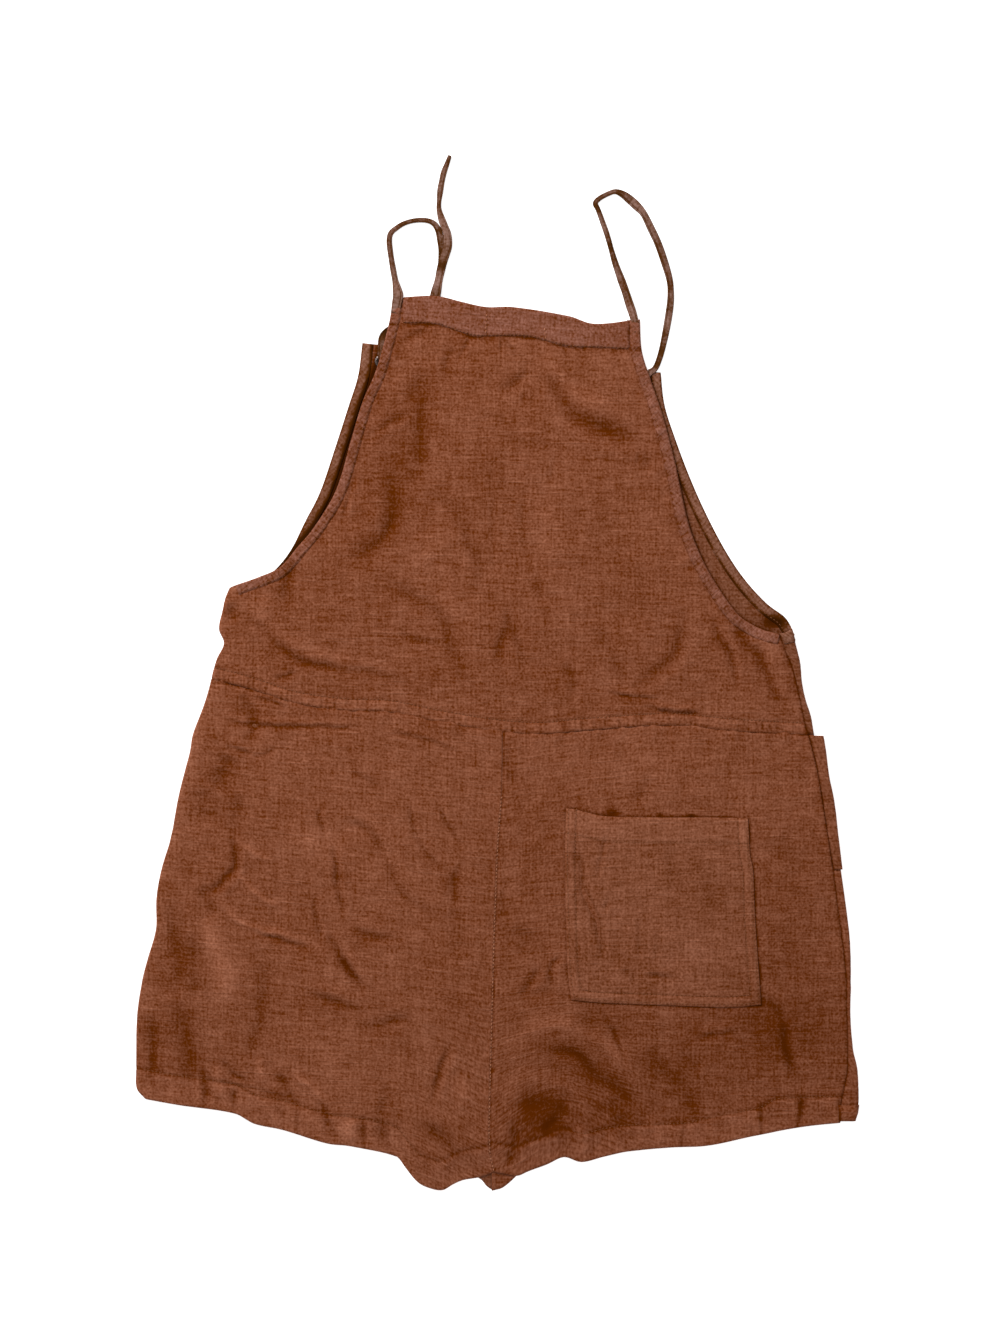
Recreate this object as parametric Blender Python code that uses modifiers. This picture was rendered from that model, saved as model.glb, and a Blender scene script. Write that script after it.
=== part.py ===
"""Strappy pinafore romper of slubby rust linen, laid flat with its back uppermost.

Frame: +X across, +Y up the garment, +Z up from the surface it lies on. Tables are in millimetres.
A panel is worked out in unrolled cloth coordinates, then put down: past a folded side it turns
round to the other layer. The back turns under at the left, and the front turns over at the right.
"""

import math
from collections import namedtuple

import bmesh
import bpy
import numpy as np
from mathutils import Vector

MM = 0.001

# Driving sizes, in millimetres
CLOTH = 1.0                      # wall of one layer
GAP = 0.3                        # between pieces at a seam
WAIST_GAP = 0.5                  # at the waist, whose two edges bend in different places
CLEAR = 0.3                      # between a panel and what is sewn on it
LIFT = CLOTH + CLEAR             # from a panel's middle to the middle of what lies on it
POCKET_CLEAR = 0.2               # more of it under the back pocket, which is divided more coarsely
LOW = CLOTH / 2                  # middle height of the front, face down on the surface
HIGH = 4.0                       # middle height of the back, over the front
TURN = (HIGH - LOW) / 2          # radius of a folded side, at the middle of the cloth
SEAM_UNDER = 11.0                # how far the back reaches under at the left, past the fold
BINDING = 8.0                    # width of the armhole binding
INSEAM_HIGH = LOW + LIFT + 0.1   # where the back comes down to the front at the inseam
INSEAM_REACH = 28.0              # length of that slope

STRAP_WIDTH = 6.0
STRAP_THICK = 1.2
STRAP_STEP = 8.0                 # between sections of a strap
ROUTE_PARTS = 10                 # between two points of its route, when it is measured
STRAP_LEAD = 2.5                 # its first section, in line with what it comes out of
STRAP_FLOOR = STRAP_THICK / 2 + 0.1
STRAP_OVER = STRAP_FLOOR + STRAP_THICK + 0.4      # one strap crossing another
STRAP_ON_FRONT = CLOTH + CLEAR + STRAP_THICK / 2 + 0.1

EYELET_RADIUS = 5.0
EYELET_HOLE = 2.5
EYELET_BARREL = 3.3
EYELET_SIDES = 24

TURN_STOPS = (1.0, 2 / 3, 1 / 3, 0.0)   # where a folded side bends, as parts of half a turn
HALF_TURN = math.pi * TURN              # cloth taken up by a folded side

Point = namedtuple("Point", "x y")
Section = namedtuple("Section", "name left_x left_y right_x right_y")
Fold = namedtuple("Fold", "name x0 y0 x1 y1 rise width")
Route = namedtuple("Route", "x y z")

# Folded sides and side seam: x at each height y, from the hem up
FOLD_LEFT = [
    Point(-282, -283), Point(-288, -276), Point(-289, -262), Point(-288.5, -220), Point(-284.5, -190),
    Point(-280, -172), Point(-273.5, -148), Point(-273, -124), Point(-269.5, -100), Point(-262.5, -76),
    Point(-255.5, -40), Point(-246.5, -6), Point(-244, 8), Point(-235.5, 31), Point(-231.5, 44),
    Point(-229.5, 53), Point(-225.5, 68), Point(-219.5, 81), Point(-223, 92), Point(-221, 104),
    Point(-217, 119), Point(-213.5, 127),
]
FOLD_RIGHT = [
    Point(286.2, -300), Point(288.7, -292), Point(288.2, -262), Point(284.7, -244), Point(282.7, -220),
    Point(282.7, -172), Point(280.2, -136), Point(275.2, -100), Point(272.2, -76), Point(267.7, -40),
    Point(260.7, -16), Point(255.7, 0), Point(253.7, 10), Point(251.7, 22), Point(247.2, 36),
    Point(244.2, 50), Point(242.2, 66), Point(238.7, 80), Point(236.7, 90), Point(234.7, 94),
    Point(237.7, 100),
]
SIDE_SEAM = [
    Point(274, -301), Point(276.5, -281), Point(277.5, -240), Point(277, -196), Point(276.5, -171),
    Point(273.5, -140), Point(268.5, -111), Point(264.5, -81), Point(259, -39), Point(253.5, -15),
    Point(248.5, 8), Point(242, 25), Point(237, 50), Point(229, 75), Point(225, 88),
]
CENTRE_SEAM = [
    Point(-3, -341.8), Point(-6, -329), Point(-7, -308), Point(-5, -232), Point(-3, -156),
    Point(0, -79), Point(3, -41), Point(4, 10),
]

# Seams and edges that run across: y at each x
WAIST = [
    Point(-230, 53), Point(-199, 45), Point(-162, 33), Point(-120, 27), Point(-87, 26), Point(-47, 18),
    Point(4, 10), Point(37, 8.5), Point(70, 11.5), Point(140, 15.5), Point(188, 11), Point(251, 7.5),
]
BIB_TOP = [
    Point(-84, 356.5), Point(-56, 358.5), Point(-44, 357.5), Point(-28, 353.5), Point(-9, 349.5),
    Point(12, 349.5), Point(58, 342), Point(74, 336.5), Point(89, 336.5), Point(113.5, 340),
]
BAND_SEAM = [
    Point(-87, 336.5), Point(-72, 336.5), Point(-48, 335.5), Point(-29, 329), Point(-15, 326),
    Point(22, 326), Point(56, 318), Point(81, 317), Point(115, 315),
]
HEM_LEFT = [
    Point(-289, -281.8), Point(-256, -287.8), Point(-210, -294.8), Point(-195, -302.8), Point(-172, -307.8),
    Point(-136, -318.8), Point(-118, -320.8), Point(-80, -329.8), Point(-74, -337.8), Point(-64, -349.8),
    Point(-54, -354.8), Point(-44, -356.3), Point(-36, -351.8), Point(-28, -348.3), Point(-14, -345.8),
    Point(-3, -341.8),
]
HEM_RIGHT = [
    Point(-3, -341.8), Point(8, -343.8), Point(16, -344.8), Point(24, -341.3), Point(39, -335.8),
    Point(53, -329.8),
    Point(67, -333.8), Point(85, -329.3), Point(102, -325.3), Point(138, -321.8), Point(168, -320.3),
    Point(204, -312.8), Point(244, -305.3), Point(288, -300.8),
]
FRONT_HEM_INSET = 2.0
FRONT_CROTCH = [Point(-14, -347), Point(-8, -354), Point(-3, -356.5), Point(4, -354.5), Point(15, -345)]
INSEAM = (-78.0, 70.0)           # the stretch of the lower edge where back and front are sewn together

# Armhole sections, from just past its foot up to the bib's top. Below it both sides run along the seams.
ARMHOLE_FOOT = (119.0, 88.0)     # on the left and right side seams
BACK_ARMHOLE = [
    Section("round the fold", -215, 125, 217.5, 90),
    Section("on top", -209.5, 127.5, 211, 92),
    Section("foot", -191, 134, 203, 96),
    Section("lower curve", -174, 142, 192, 104),
    Section("curve", -160, 158, 178, 123),
    Section("upper curve", -146, 175, 164, 147),
    Section("side 1", -129, 204, 152, 178),
    Section("side 2", -117, 244, 142, 224),
    Section("side 3", -108, 274, 132, 262),
    Section("side 4", -97, 300, 122, 292),
    Section("band seam", -87, 336.5, 115, 315),
    Section("bib top", -84, 356.5, 113.5, 340),
]
FRONT_ARMHOLE = [
    Section("round the fold", -197, 125, 236, 93),
    Section("underneath", -187, 132, 229, 102),
    Section("lower curve", -176, 141, 215, 112.5),
    Section("curve", -164.5, 156, 198, 131),
    Section("upper curve", -153.5, 178, 183, 153),
    Section("side 1", -141, 203, 167.5, 182),
    Section("side 2", -128.5, 240, 154, 212),
    Section("side 3", -118.5, 271, 141.5, 245),
    Section("side 4", -111, 295, 133, 272),
    Section("bib top", -107.5, 321.5, 130, 298),
]

# How closely each panel is divided. Parts are shares of the way from its left side to its right.
ROWS_BELOW_ARMHOLE = 5
ROWS_UNDER_BAND = 3              # that lean towards the band's seam
LEG_ROWS = 15
SEAM_STEP = 2.0                  # between columns that crowd at a side
BACK_COLUMNS = 17
FRONT_COLUMNS = 11
POCKET_COLUMNS = 7
FRONT_POCKET_COLUMNS = 5
LEFT_LEG_PARTS = [0.1, 0.2, 0.3, 0.4, 0.5, 0.6, 0.68, 0.74, 0.79, 0.84, 0.88, 0.92, 0.96]
RIGHT_LEG_PARTS = [0.04, 0.08, 0.13, 0.18, 0.23, 0.3, 0.38, 0.46, 0.55, 0.64, 0.73, 0.82, 0.91]
LEFT_POCKET_ROWS = [0.0, 0.25, 0.5, 0.75, 1.0]
RIGHT_POCKET_ROWS = [0.0, 0.15, 0.3, 0.45, 0.6, 0.8, 1.0]
SHARP = math.radians(40)         # edges sharper than this are shaded as edges

# Largest folds of the back: ridges rise, troughs sink
FOLDS = [
    Fold("underarm ridge", -200, 98, -120, 84, 1.2, 14),
    Fold("waist crease", -180, 76, -62, 48, -1.0, 11),
    Fold("bib diagonal", 40, 286, 118, 240, -1.0, 12),
    Fold("bib roll", 52, 312, 122, 262, 1.0, 14),
    Fold("bib left trough", -60, 288, -102, 160, -0.9, 13),
    Fold("bib left ridge", -88, 270, -124, 190, 0.9, 12),
    Fold("belly roll", -60, 210, -10, 70, 0.9, 20),
    Fold("right waist crease", 190, 86, 222, 36, -0.8, 10),
    Fold("right waist ridge", 168, 96, 196, 30, 1.0, 13),
    Fold("leg side trough", -259, -138, -238, -272, -0.9, 11),
    Fold("leg side ridge", -220, -150, -216, -255, 1.3, 15),
    Fold("leg inner trough", -190, -165, -198, -272, -0.8, 12),
    Fold("leg cross crease", -152, -203, -74, -220, -1.0, 11),
    Fold("leg cross ridge", -150, -178, -78, -196, 1.1, 13),
    Fold("thigh ridge", -230, -70, -150, -110, 0.9, 16),
    Fold("thigh crease", -140, -57, -122, -128, -0.7, 12),
    Fold("crotch arc, inner", 6, -236, 72, -246, -1.0, 12),
    Fold("crotch arc, outer", 72, -246, 110, -292, -1.0, 12),
    Fold("crotch roll, inner", 10, -214, 76, -222, 1.3, 13),
    Fold("crotch roll, outer", 76, -222, 130, -285, 1.3, 14),
    Fold("hem trough", 132, -252, 152, -296, -0.9, 12),
    Fold("right hem trough", 217, -212, 238, -285, -0.8, 11),
]

BACK_POCKET = [
    Section("bottom", 59, -203.5, 210.5, -208.5),
    Section("third", 54.5, -143, 206, -140),
    Section("half", 53, -105, 203.5, -100),
    Section("top", 55, -51.5, 201, -62),
]
BACK_POCKET_SAG = [Point(55, 0), Point(86, -3), Point(110, -5), Point(140, -3), Point(201, 0)]

# Front pockets, caught in the side seams: top and bottom as heights at the seam, width along the cloth
FrontPocket = namedtuple("FrontPocket", "seam_top seam_bottom width drop_top drop_bottom")
FRONT_POCKET_LEFT = FrontPocket(44, -66, 150, -20, -50)
FRONT_POCKET_RIGHT = FrontPocket(7, -100, 150, -2, -28)
POCKET_RISE_FULL = 26.0          # the front lies on the pocket this far round it
POCKET_RISE_END = 60.0           # and is down on the surface from here
POCKET_GAPE = 6.0                # how far the right pocket's mouth stands out from the side
POCKET_EASE = 0.5                # and the rest of its edge
POCKET_GAPE_LENGTH = 44.0

EYELET_LEFT = Point(-93.4, 307.0)
EYELET_RIGHT = Point(115.6, 283.5)

STRAP_LEFT = [
    Route(-80.3, 357.5, 5.3), Route(-80.4, 360, 5.3), Route(-81, 366, 3.6), Route(-82.8, 376, 1.5),
    Route(-84.8, 387, STRAP_FLOOR),
    Route(-86.5, 399, STRAP_FLOOR), Route(-85.5, 405.5, STRAP_FLOOR), Route(-80.5, 411.5, STRAP_FLOOR),
    Route(-72.5, 416.5, STRAP_FLOOR), Route(-63, 418.5, STRAP_FLOOR), Route(-55.5, 418, STRAP_FLOOR),
    Route(-49.5, 415, STRAP_FLOOR), Route(-46, 406, STRAP_FLOOR), Route(-44.5, 394, STRAP_FLOOR),
    Route(-45.5, 383, STRAP_FLOOR), Route(-48, 371, STRAP_FLOOR), Route(-52, 358, STRAP_FLOOR),
    Route(-62, 346, STRAP_FLOOR), Route(-76, 338, STRAP_FLOOR), Route(-88, 333, 1.0),
    Route(-93.4, 325.5, STRAP_ON_FRONT), Route(-93.6, 318, STRAP_ON_FRONT),
    Route(-93.4, 312.4, STRAP_ON_FRONT),
]
STRAP_LEFT_TAIL = [
    Route(-88.0, 307.0, STRAP_ON_FRONT), Route(-79, 308, STRAP_ON_FRONT),
    Route(-68, 314, STRAP_ON_FRONT), Route(-60, 326, STRAP_ON_FRONT),
    Route(-54, 341, STRAP_OVER), Route(-50.5, 358, STRAP_OVER), Route(-46.5, 375.5, STRAP_OVER),
    Route(-42.5, 387, STRAP_OVER), Route(-38.5, 394, STRAP_OVER), Route(-37, 401, STRAP_OVER),
    Route(-39, 409, STRAP_OVER), Route(-42.5, 419, STRAP_OVER), Route(-46, 428.5, 1.5),
    Route(-46.4, 438, 0.8), Route(-45.2, 448.5, STRAP_FLOOR), Route(-43.5, 456, STRAP_FLOOR),
    Route(-41, 464.5, STRAP_FLOOR), Route(-38, 470.8, STRAP_FLOOR),
]
STRAP_RIGHT = [
    Route(109.3, 340.6, 5.3), Route(108.6, 343, 5.3), Route(105.2, 351.5, 3.6), Route(101, 361, 1.6),
    Route(96.8, 374, STRAP_FLOOR),
    Route(92, 392, STRAP_FLOOR), Route(87, 408.5, STRAP_FLOOR), Route(81.5, 424, STRAP_FLOOR),
    Route(78.6, 432, STRAP_FLOOR), Route(80.2, 437, STRAP_FLOOR), Route(86, 441, STRAP_FLOOR),
    Route(93, 443, STRAP_FLOOR), Route(99, 442, STRAP_FLOOR), Route(106, 436.5, STRAP_FLOOR),
    Route(114, 429.5, STRAP_FLOOR), Route(119.5, 420.5, STRAP_FLOOR), Route(125.5, 408.5, STRAP_FLOOR),
    Route(131, 393, STRAP_FLOOR), Route(136, 379, STRAP_FLOOR), Route(138, 366, STRAP_FLOOR),
    Route(137.2, 354, STRAP_FLOOR), Route(134.8, 339, STRAP_FLOOR), Route(131, 324.5, STRAP_FLOOR),
    Route(126.5, 311, 1.0), Route(120, 301, STRAP_ON_FRONT),
    Route(117.2, 293.5, STRAP_ON_FRONT), Route(115.6, 288.9, STRAP_ON_FRONT),
]
STRAP_RIGHT_TAIL = [
    Route(115.0, 278.1, STRAP_ON_FRONT), Route(112, 268, STRAP_ON_FRONT),
    Route(104, 247, STRAP_ON_FRONT), Route(100, 222, STRAP_ON_FRONT),
    Route(104, 198, STRAP_ON_FRONT), Route(98, 176, STRAP_ON_FRONT),
]

LINEN = (0.218, 0.064, 0.029)
METAL = (0.42, 0.40, 0.37)


# ---------------------------------------------------------------- lines and heights

def smooth_at(keys, values, key):
    """The value at a key, on a smooth curve through the values. Past either end it stays level."""
    key = min(max(key, keys[0]), keys[-1])
    right = min(max(int(np.searchsorted(keys, key)), 1), len(keys) - 1)
    left = right - 1

    def slope(index):
        before, after = max(index - 1, 0), min(index + 1, len(keys) - 1)
        return (values[after] - values[before]) / (keys[after] - keys[before])

    length = keys[right] - keys[left]
    t = (key - keys[left]) / length
    return (
        values[left] * (2 * t**3 - 3 * t**2 + 1) + values[right] * (3 * t**2 - 2 * t**3)
        + slope(left) * length * (t**3 - 2 * t**2 + t) + slope(right) * length * (t**3 - t**2)
    )


def x_at(line, y):
    """The x of a line given as points from the bottom up, at height y."""
    return smooth_at([p.y for p in line], [p.x for p in line], y)


def y_at(line, x):
    """The y of a line given as points from left to right, at x."""
    return smooth_at([p.x for p in line], [p.y for p in line], x)


def ease(t):
    """0 below 0, 1 above 1, and an S-curve between."""
    t = min(max(t, 0.0), 1.0)
    return t * t * (3 - 2 * t)


def between(a, b, t):
    return Point(a.x + (b.x - a.x) * t, a.y + (b.y - a.y) * t)


def left_start(y):
    """Where the back begins to turn under at the left."""
    return x_at(FOLD_LEFT, y) + TURN


def right_start(y):
    """Where the front begins to turn over at the right."""
    return x_at(FOLD_RIGHT, y) - TURN


def left_seam(y):
    """The left side seam, under the garment."""
    return left_start(y) + SEAM_UNDER


def right_side_seam(y):
    """The right side seam, on top."""
    return x_at(SIDE_SEAM, y)


def unrolled_left_seam(y):
    """The same seam as the end of the back's cloth, measured along the cloth."""
    return left_start(y) - HALF_TURN - SEAM_UNDER


def unrolled_right_seam(y):
    """The right side seam as the end of the front's cloth, measured along the cloth."""
    return right_start(y) + HALF_TURN + right_start(y) - x_at(SIDE_SEAM, y)


def pocket_rise(x, y):
    """How much the front rises to lie on its pockets, whose outer edges are at the side seams."""
    rise = 0.0
    for pocket, seam_x, inward in (
        (FRONT_POCKET_LEFT, left_seam(y), 1),
        (FRONT_POCKET_RIGHT, right_start(y), -1),
    ):
        across = (x - seam_x) * inward
        slope = max(min(across / pocket.width, 1.0), 0.0)
        top = pocket.seam_top + pocket.drop_top * slope
        bottom = pocket.seam_bottom + pocket.drop_bottom * slope
        outside = max(across - pocket.width, y - top, bottom - y, 0.0)
        rise = max(rise, 1 - ease((outside - POCKET_RISE_FULL) / (POCKET_RISE_END - POCKET_RISE_FULL)))
    return LIFT * rise


def low_height(x, y):
    return LOW + pocket_rise(x, y)


def fold_rise(fold, x, y):
    """A soft ridge or trough along a straight stretch, fading over its ends."""
    along = np.array([fold.x1 - fold.x0, fold.y1 - fold.y0])
    length = float(np.hypot(*along))
    along = along / length
    offset = np.array([x - fold.x0, y - fold.y0])
    past = float(offset @ along)
    side = float(along[0] * offset[1] - along[1] * offset[0])
    beyond = max(-past, past - length, 0.0)
    return fold.rise * math.exp(-((side / fold.width) ** 2) - (beyond / fold.width) ** 2)


def high_height(x, y):
    """Middle of the back's cloth: over the front, with its folds, and down to it along the inseam."""
    height = HIGH + sum(fold_rise(fold, x, y) for fold in FOLDS)
    hem = y_at(HEM_LEFT, x) if x < HEM_LEFT[-1].x else y_at(HEM_RIGHT, x)
    outside = max(INSEAM[0] - x, x - INSEAM[1], 0.0)
    open_hem = ease((y - hem) / INSEAM_REACH) if outside == 0 else 1.0
    open_hem = max(open_hem, ease(outside / INSEAM_REACH))
    return INSEAM_HIGH + (height - INSEAM_HIGH) * open_hem


def turned(x, start, outward, near, far):
    """(x, z) of cloth that lies at height near up to start, then turns round to height far."""
    past = (x - start) * outward
    if past <= 0:
        return x, near
    if past >= HALF_TURN:
        return start - outward * (past - HALF_TURN), far
    angle = past / TURN
    radius = abs(near - far) / 2
    return start + outward * radius * math.sin(angle), (near + far) / 2 + (near - far) / 2 * math.cos(angle)


def back_point(point, lift=0.0):
    """Where the back's cloth lies. A lift moves out from it, up on top and down underneath."""
    start = left_start(point.y)
    near = high_height(max(point.x, start), point.y) + lift
    far = low_height(left_seam(point.y), point.y) - lift
    x, z = turned(point.x, start, -1, near, far)
    return Vector((x, point.y, z)) * MM


def front_point(point, lift=0.0, gape=0.0):
    """Where the front's cloth lies. A lift moves out from it, down underneath and up on top."""
    start = right_start(point.y) + gape
    near = low_height(min(point.x, start), point.y) - lift
    far = high_height(x_at(SIDE_SEAM, point.y), point.y) + lift
    x, z = turned(point.x, start, 1, near, far)
    return Vector((x, point.y, z)) * MM


# ---------------------------------------------------------------- grids of unrolled cloth

def inset(edge, index, inward):
    """The point a binding's width inside an edge, square to it. inward is 1 when inside lies towards +X."""
    before, after = edge[index - 1], edge[min(index + 1, len(edge) - 1)]
    run = Vector((after.x - before.x, after.y - before.y)).normalized()
    return Point(edge[index].x + inward * run.y * BINDING, edge[index].y - inward * run.x * BINDING)


def spread(a, b, columns):
    """Equally spaced points from a to b."""
    return [between(a, b, index / columns) for index in range(columns + 1)]


def bends(start, outward):
    """The x of each bend where a side turns round, from its far end to where it lies flat."""
    return [start + outward * HALF_TURN * stop for stop in TURN_STOPS]


def row_of(left, right, parts, left_bends=(), right_bends=()):
    """A row from the left points to the right ones. Bends that these are already past crowd beside them."""
    first, last = left[-1], right[0]
    near = [max(x, first.x + SEAM_STEP * (k + 1)) for k, x in enumerate(left_bends)]
    far = [min(x, last.x - SEAM_STEP * (k + 1)) for k, x in enumerate(right_bends)][::-1]
    a, b = (near or [first.x])[-1], (far or [last.x])[0]
    across = near + [a + (b - a) * part for part in parts] + far
    inner = [between(first, last, (x - first.x) / (last.x - first.x)) for x in across]
    return left + inner + right


def bow(rows, line, weights):
    """Bends each row towards the shape of a line that runs across, by its weight."""
    for row, weight in zip(rows, weights):
        first, last = row[0], row[-1]
        first_y, last_y = y_at(line, first.x), y_at(line, last.x)
        for index, point in enumerate(row):
            straight = first_y + (last_y - first_y) * (point.x - first.x) / (last.x - first.x)
            row[index] = Point(point.x, point.y + weight * (y_at(line, point.x) - straight))


def draw_in(grid, gap, sides):
    """Moves whole edges of a grid inwards, towards the next row or column, to leave a seam's gap."""
    def moved(edge_point, inner):
        step = Vector((inner.x - edge_point.x, inner.y - edge_point.y))
        return between(edge_point, inner, gap / step.length)

    grid = [list(row) for row in grid]
    if "bottom" in sides:
        grid[0] = [moved(a, b) for a, b in zip(grid[0], grid[1])]
    if "top" in sides:
        grid[-1] = [moved(a, b) for a, b in zip(grid[-1], grid[-2])]
    for row in grid:
        if "left" in sides:
            row[0] = moved(row[0], row[1])
        if "right" in sides:
            row[-1] = moved(row[-1], row[-2])
    return grid


def even(columns):
    """Equal parts of the way from one side to the other, without its ends."""
    return [index / columns for index in range(1, columns)]


def seamed(grid, waist):
    """A main panel's grid, drawn in for its waist seam, at the bottom or top, and for its sides' seams."""
    return draw_in(draw_in(grid, WAIST_GAP / 2, {waist}), GAP / 2, {"left", "right"})


def bodice_edges(left_seam_x, right_seam_x, armhole):
    """Each side's points from the waist up, each with the point just inside it."""
    edges = []
    for side, waist, foot, seam_x, inward in (
        ("left", WAIST[0], ARMHOLE_FOOT[0], left_seam_x, 1),
        ("right", WAIST[-1], ARMHOLE_FOOT[1], right_seam_x, -1),
    ):
        top = foot - 2 * BINDING
        pairs = []
        for index in range(ROWS_BELOW_ARMHOLE):
            y = waist.y + (top - waist.y) * index / (ROWS_BELOW_ARMHOLE - 1)
            edge = Point(seam_x(y), y)
            pairs.append((edge, Point(edge.x + inward * SEAM_STEP, y)))
        corner, below = foot, foot - BINDING
        clear = inward * GAP
        pairs.append((Point(seam_x(corner) + clear, corner), Point(seam_x(below) + clear, below)))
        edge = [pairs[-1][0]]
        edge += [Point(getattr(row, f"{side}_x"), getattr(row, f"{side}_y")) for row in armhole]
        pairs += [(edge[index], inset(edge, index, inward)) for index in range(1, len(edge))]
        edges.append(pairs)
    return edges


def back_bodice_grid():
    """From the waist up. The left turns under below the armhole, and the right ends at the seam.

    The last two rows are the band's seam and the bib's top.
    """
    rows = []
    for left, right in zip(*bodice_edges(unrolled_left_seam, right_side_seam, BACK_ARMHOLE)):
        turn = bends(left_start(left[1].y), -1)
        rows.append(row_of(list(left), list(right)[::-1], even(BACK_COLUMNS), left_bends=turn))
    count = len(rows)
    bow(rows, WAIST, [max(1 - index / ROWS_BELOW_ARMHOLE, 0) for index in range(count)])
    seam = count - 2
    bow(rows[:seam], BAND_SEAM, [max(1 - (seam - index) / ROWS_UNDER_BAND, 0) for index in range(seam)])
    for row, line in ((rows[seam], BAND_SEAM), (rows[seam + 1], BIB_TOP)):
        row[:] = [Point(point.x, y_at(line, point.x)) for point in row]
    return rows


def front_bodice_grid():
    """From the waist up. The left ends at the seam underneath, and the right turns over."""
    rows = []
    for left, right in zip(*bodice_edges(left_seam, unrolled_right_seam, FRONT_ARMHOLE)):
        turn = bends(right_start(right[1].y), 1)
        rows.append(row_of(list(left), list(right)[::-1], even(FRONT_COLUMNS), right_bends=turn))
    bow(rows, WAIST, [max(1 - index / ROWS_BELOW_ARMHOLE, 0) for index in range(len(rows))])
    return rows


def leg_grid(side, hem, centre_bottom, back):
    """From the hem up to the waist, between a side seam and the centre seam."""
    outer, waist = (hem[0], WAIST[0]) if side == "left" else (hem[-1], WAIST[-1])
    rows = []
    parts = [index / (LEG_ROWS - 1) for index in range(LEG_ROWS)]
    for part in parts:
        y = outer.y + (waist.y - outer.y) * part
        centre_y = centre_bottom.y + (CENTRE_SEAM[-1].y - centre_bottom.y) * part
        centre = [Point(x_at(CENTRE_SEAM, centre_y), centre_y)]
        if side == "left" and back:
            seam, turn = [Point(unrolled_left_seam(y), y)], bends(left_start(y), -1)
            rows.append(row_of(seam, centre, LEFT_LEG_PARTS, left_bends=turn))
        elif side == "left":
            rows.append(row_of([Point(left_seam(y), y)], centre, LEFT_LEG_PARTS))
        elif back:
            rows.append(row_of(centre, [Point(right_side_seam(y), y)], RIGHT_LEG_PARTS))
        else:
            seam, turn = [Point(unrolled_right_seam(y), y)], bends(right_start(y), 1)
            rows.append(row_of(centre, seam, RIGHT_LEG_PARTS, right_bends=turn))
    bow(rows, hem, [(1 - part) ** 3 for part in parts])
    bow(rows, waist_half(side), [part**3 for part in parts])
    return rows


def waist_half(side):
    """The waist seam on one side of the centre seam."""
    middle = CENTRE_SEAM[-1]
    return [p for p in WAIST if (p.x <= middle.x if side == "left" else p.x >= middle.x)]


def front_hem(side):
    """The back's hem drawn up a little, with the crotch that shows past the back."""
    tip = FRONT_CROTCH[2]
    if side == "left":
        hem, crotch = HEM_LEFT, [p for p in FRONT_CROTCH if p.x <= tip.x]
    else:
        hem, crotch = HEM_RIGHT, [p for p in FRONT_CROTCH if p.x >= tip.x]
    seam = hem[0] if side == "left" else hem[-1]
    kept = [Point(p.x, p.y + FRONT_HEM_INSET) for p in hem if not crotch[0].x <= p.x <= crotch[-1].x]
    kept = [p for p in kept if p.x != seam.x]
    return sorted(kept + crotch + [seam])


def back_pocket_grid():
    """From the bottom up: its sections, with rows halfway between them, and the mouth sagging."""
    rows = []
    for low, high in zip(BACK_POCKET, BACK_POCKET[1:]):
        for part in (0.0, 0.5):
            left = between(Point(low.left_x, low.left_y), Point(high.left_x, high.left_y), part)
            right = between(Point(low.right_x, low.right_y), Point(high.right_x, high.right_y), part)
            rows.append(spread(left, right, POCKET_COLUMNS))
    top = BACK_POCKET[-1]
    rows.append(spread(Point(top.left_x, top.left_y), Point(top.right_x, top.right_y), POCKET_COLUMNS))
    rows[-1] = [Point(p.x, p.y + y_at(BACK_POCKET_SAG, p.x)) for p in rows[-1]]
    return rows


def front_pocket_left_grid():
    pocket = FRONT_POCKET_LEFT
    rows = []
    for part in LEFT_POCKET_ROWS:
        seam_y = pocket.seam_bottom + (pocket.seam_top - pocket.seam_bottom) * part
        drop = pocket.drop_bottom + (pocket.drop_top - pocket.drop_bottom) * part
        seam = Point(left_seam(seam_y), seam_y)
        rows.append(spread(seam, Point(seam.x + pocket.width, seam_y + drop), FRONT_POCKET_COLUMNS))
    return rows


def front_pocket_right_grid():
    pocket = FRONT_POCKET_RIGHT
    rows = []
    for part in RIGHT_POCKET_ROWS:
        seam_y = pocket.seam_bottom + (pocket.seam_top - pocket.seam_bottom) * part
        drop = pocket.drop_bottom + (pocket.drop_top - pocket.drop_bottom) * part
        gape = pocket_gape(seam_y)
        start = right_start(seam_y) + gape
        end = start + HALF_TURN + start - x_at(SIDE_SEAM, seam_y)
        inner = Point(start - pocket.width, seam_y + drop)
        hinge = Point(start, seam_y)
        turn = [Point(x, seam_y) for x in bends(start, 1)[-2::-1]]
        rows.append(spread(inner, hinge, FRONT_POCKET_COLUMNS) + turn + [Point(end, seam_y)])
    return rows


def pocket_gape(y):
    """The mouth stands out from the side, and the pocket closes on it lower down."""
    below_mouth = FRONT_POCKET_RIGHT.seam_top - y
    return POCKET_EASE + POCKET_GAPE * ease(1 - below_mouth / POCKET_GAPE_LENGTH)


def gaping_front_point(point, lift):
    return front_point(point, lift, pocket_gape(point.y))


# ---------------------------------------------------------------- Blender objects

def material(name, colour, roughness, metallic=0.0):
    made = bpy.data.materials.new(name)
    made.use_nodes = True
    shader = made.node_tree.nodes["Principled BSDF"]
    shader.inputs["Base Color"].default_value = (*colour, 1)
    shader.inputs["Roughness"].default_value = roughness
    shader.inputs["Metallic"].default_value = metallic
    made.diffuse_color = (*colour, 1)
    return made


def linen(name, shade):
    """The cloth, a little lighter or darker for each piece."""
    return material(name, [channel * shade for channel in LINEN], 0.88)


def add(name, data, parts, finish):
    obj = bpy.data.objects.new(name, data)
    parts.objects.link(obj)
    data.materials.append(finish)
    return obj


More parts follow.
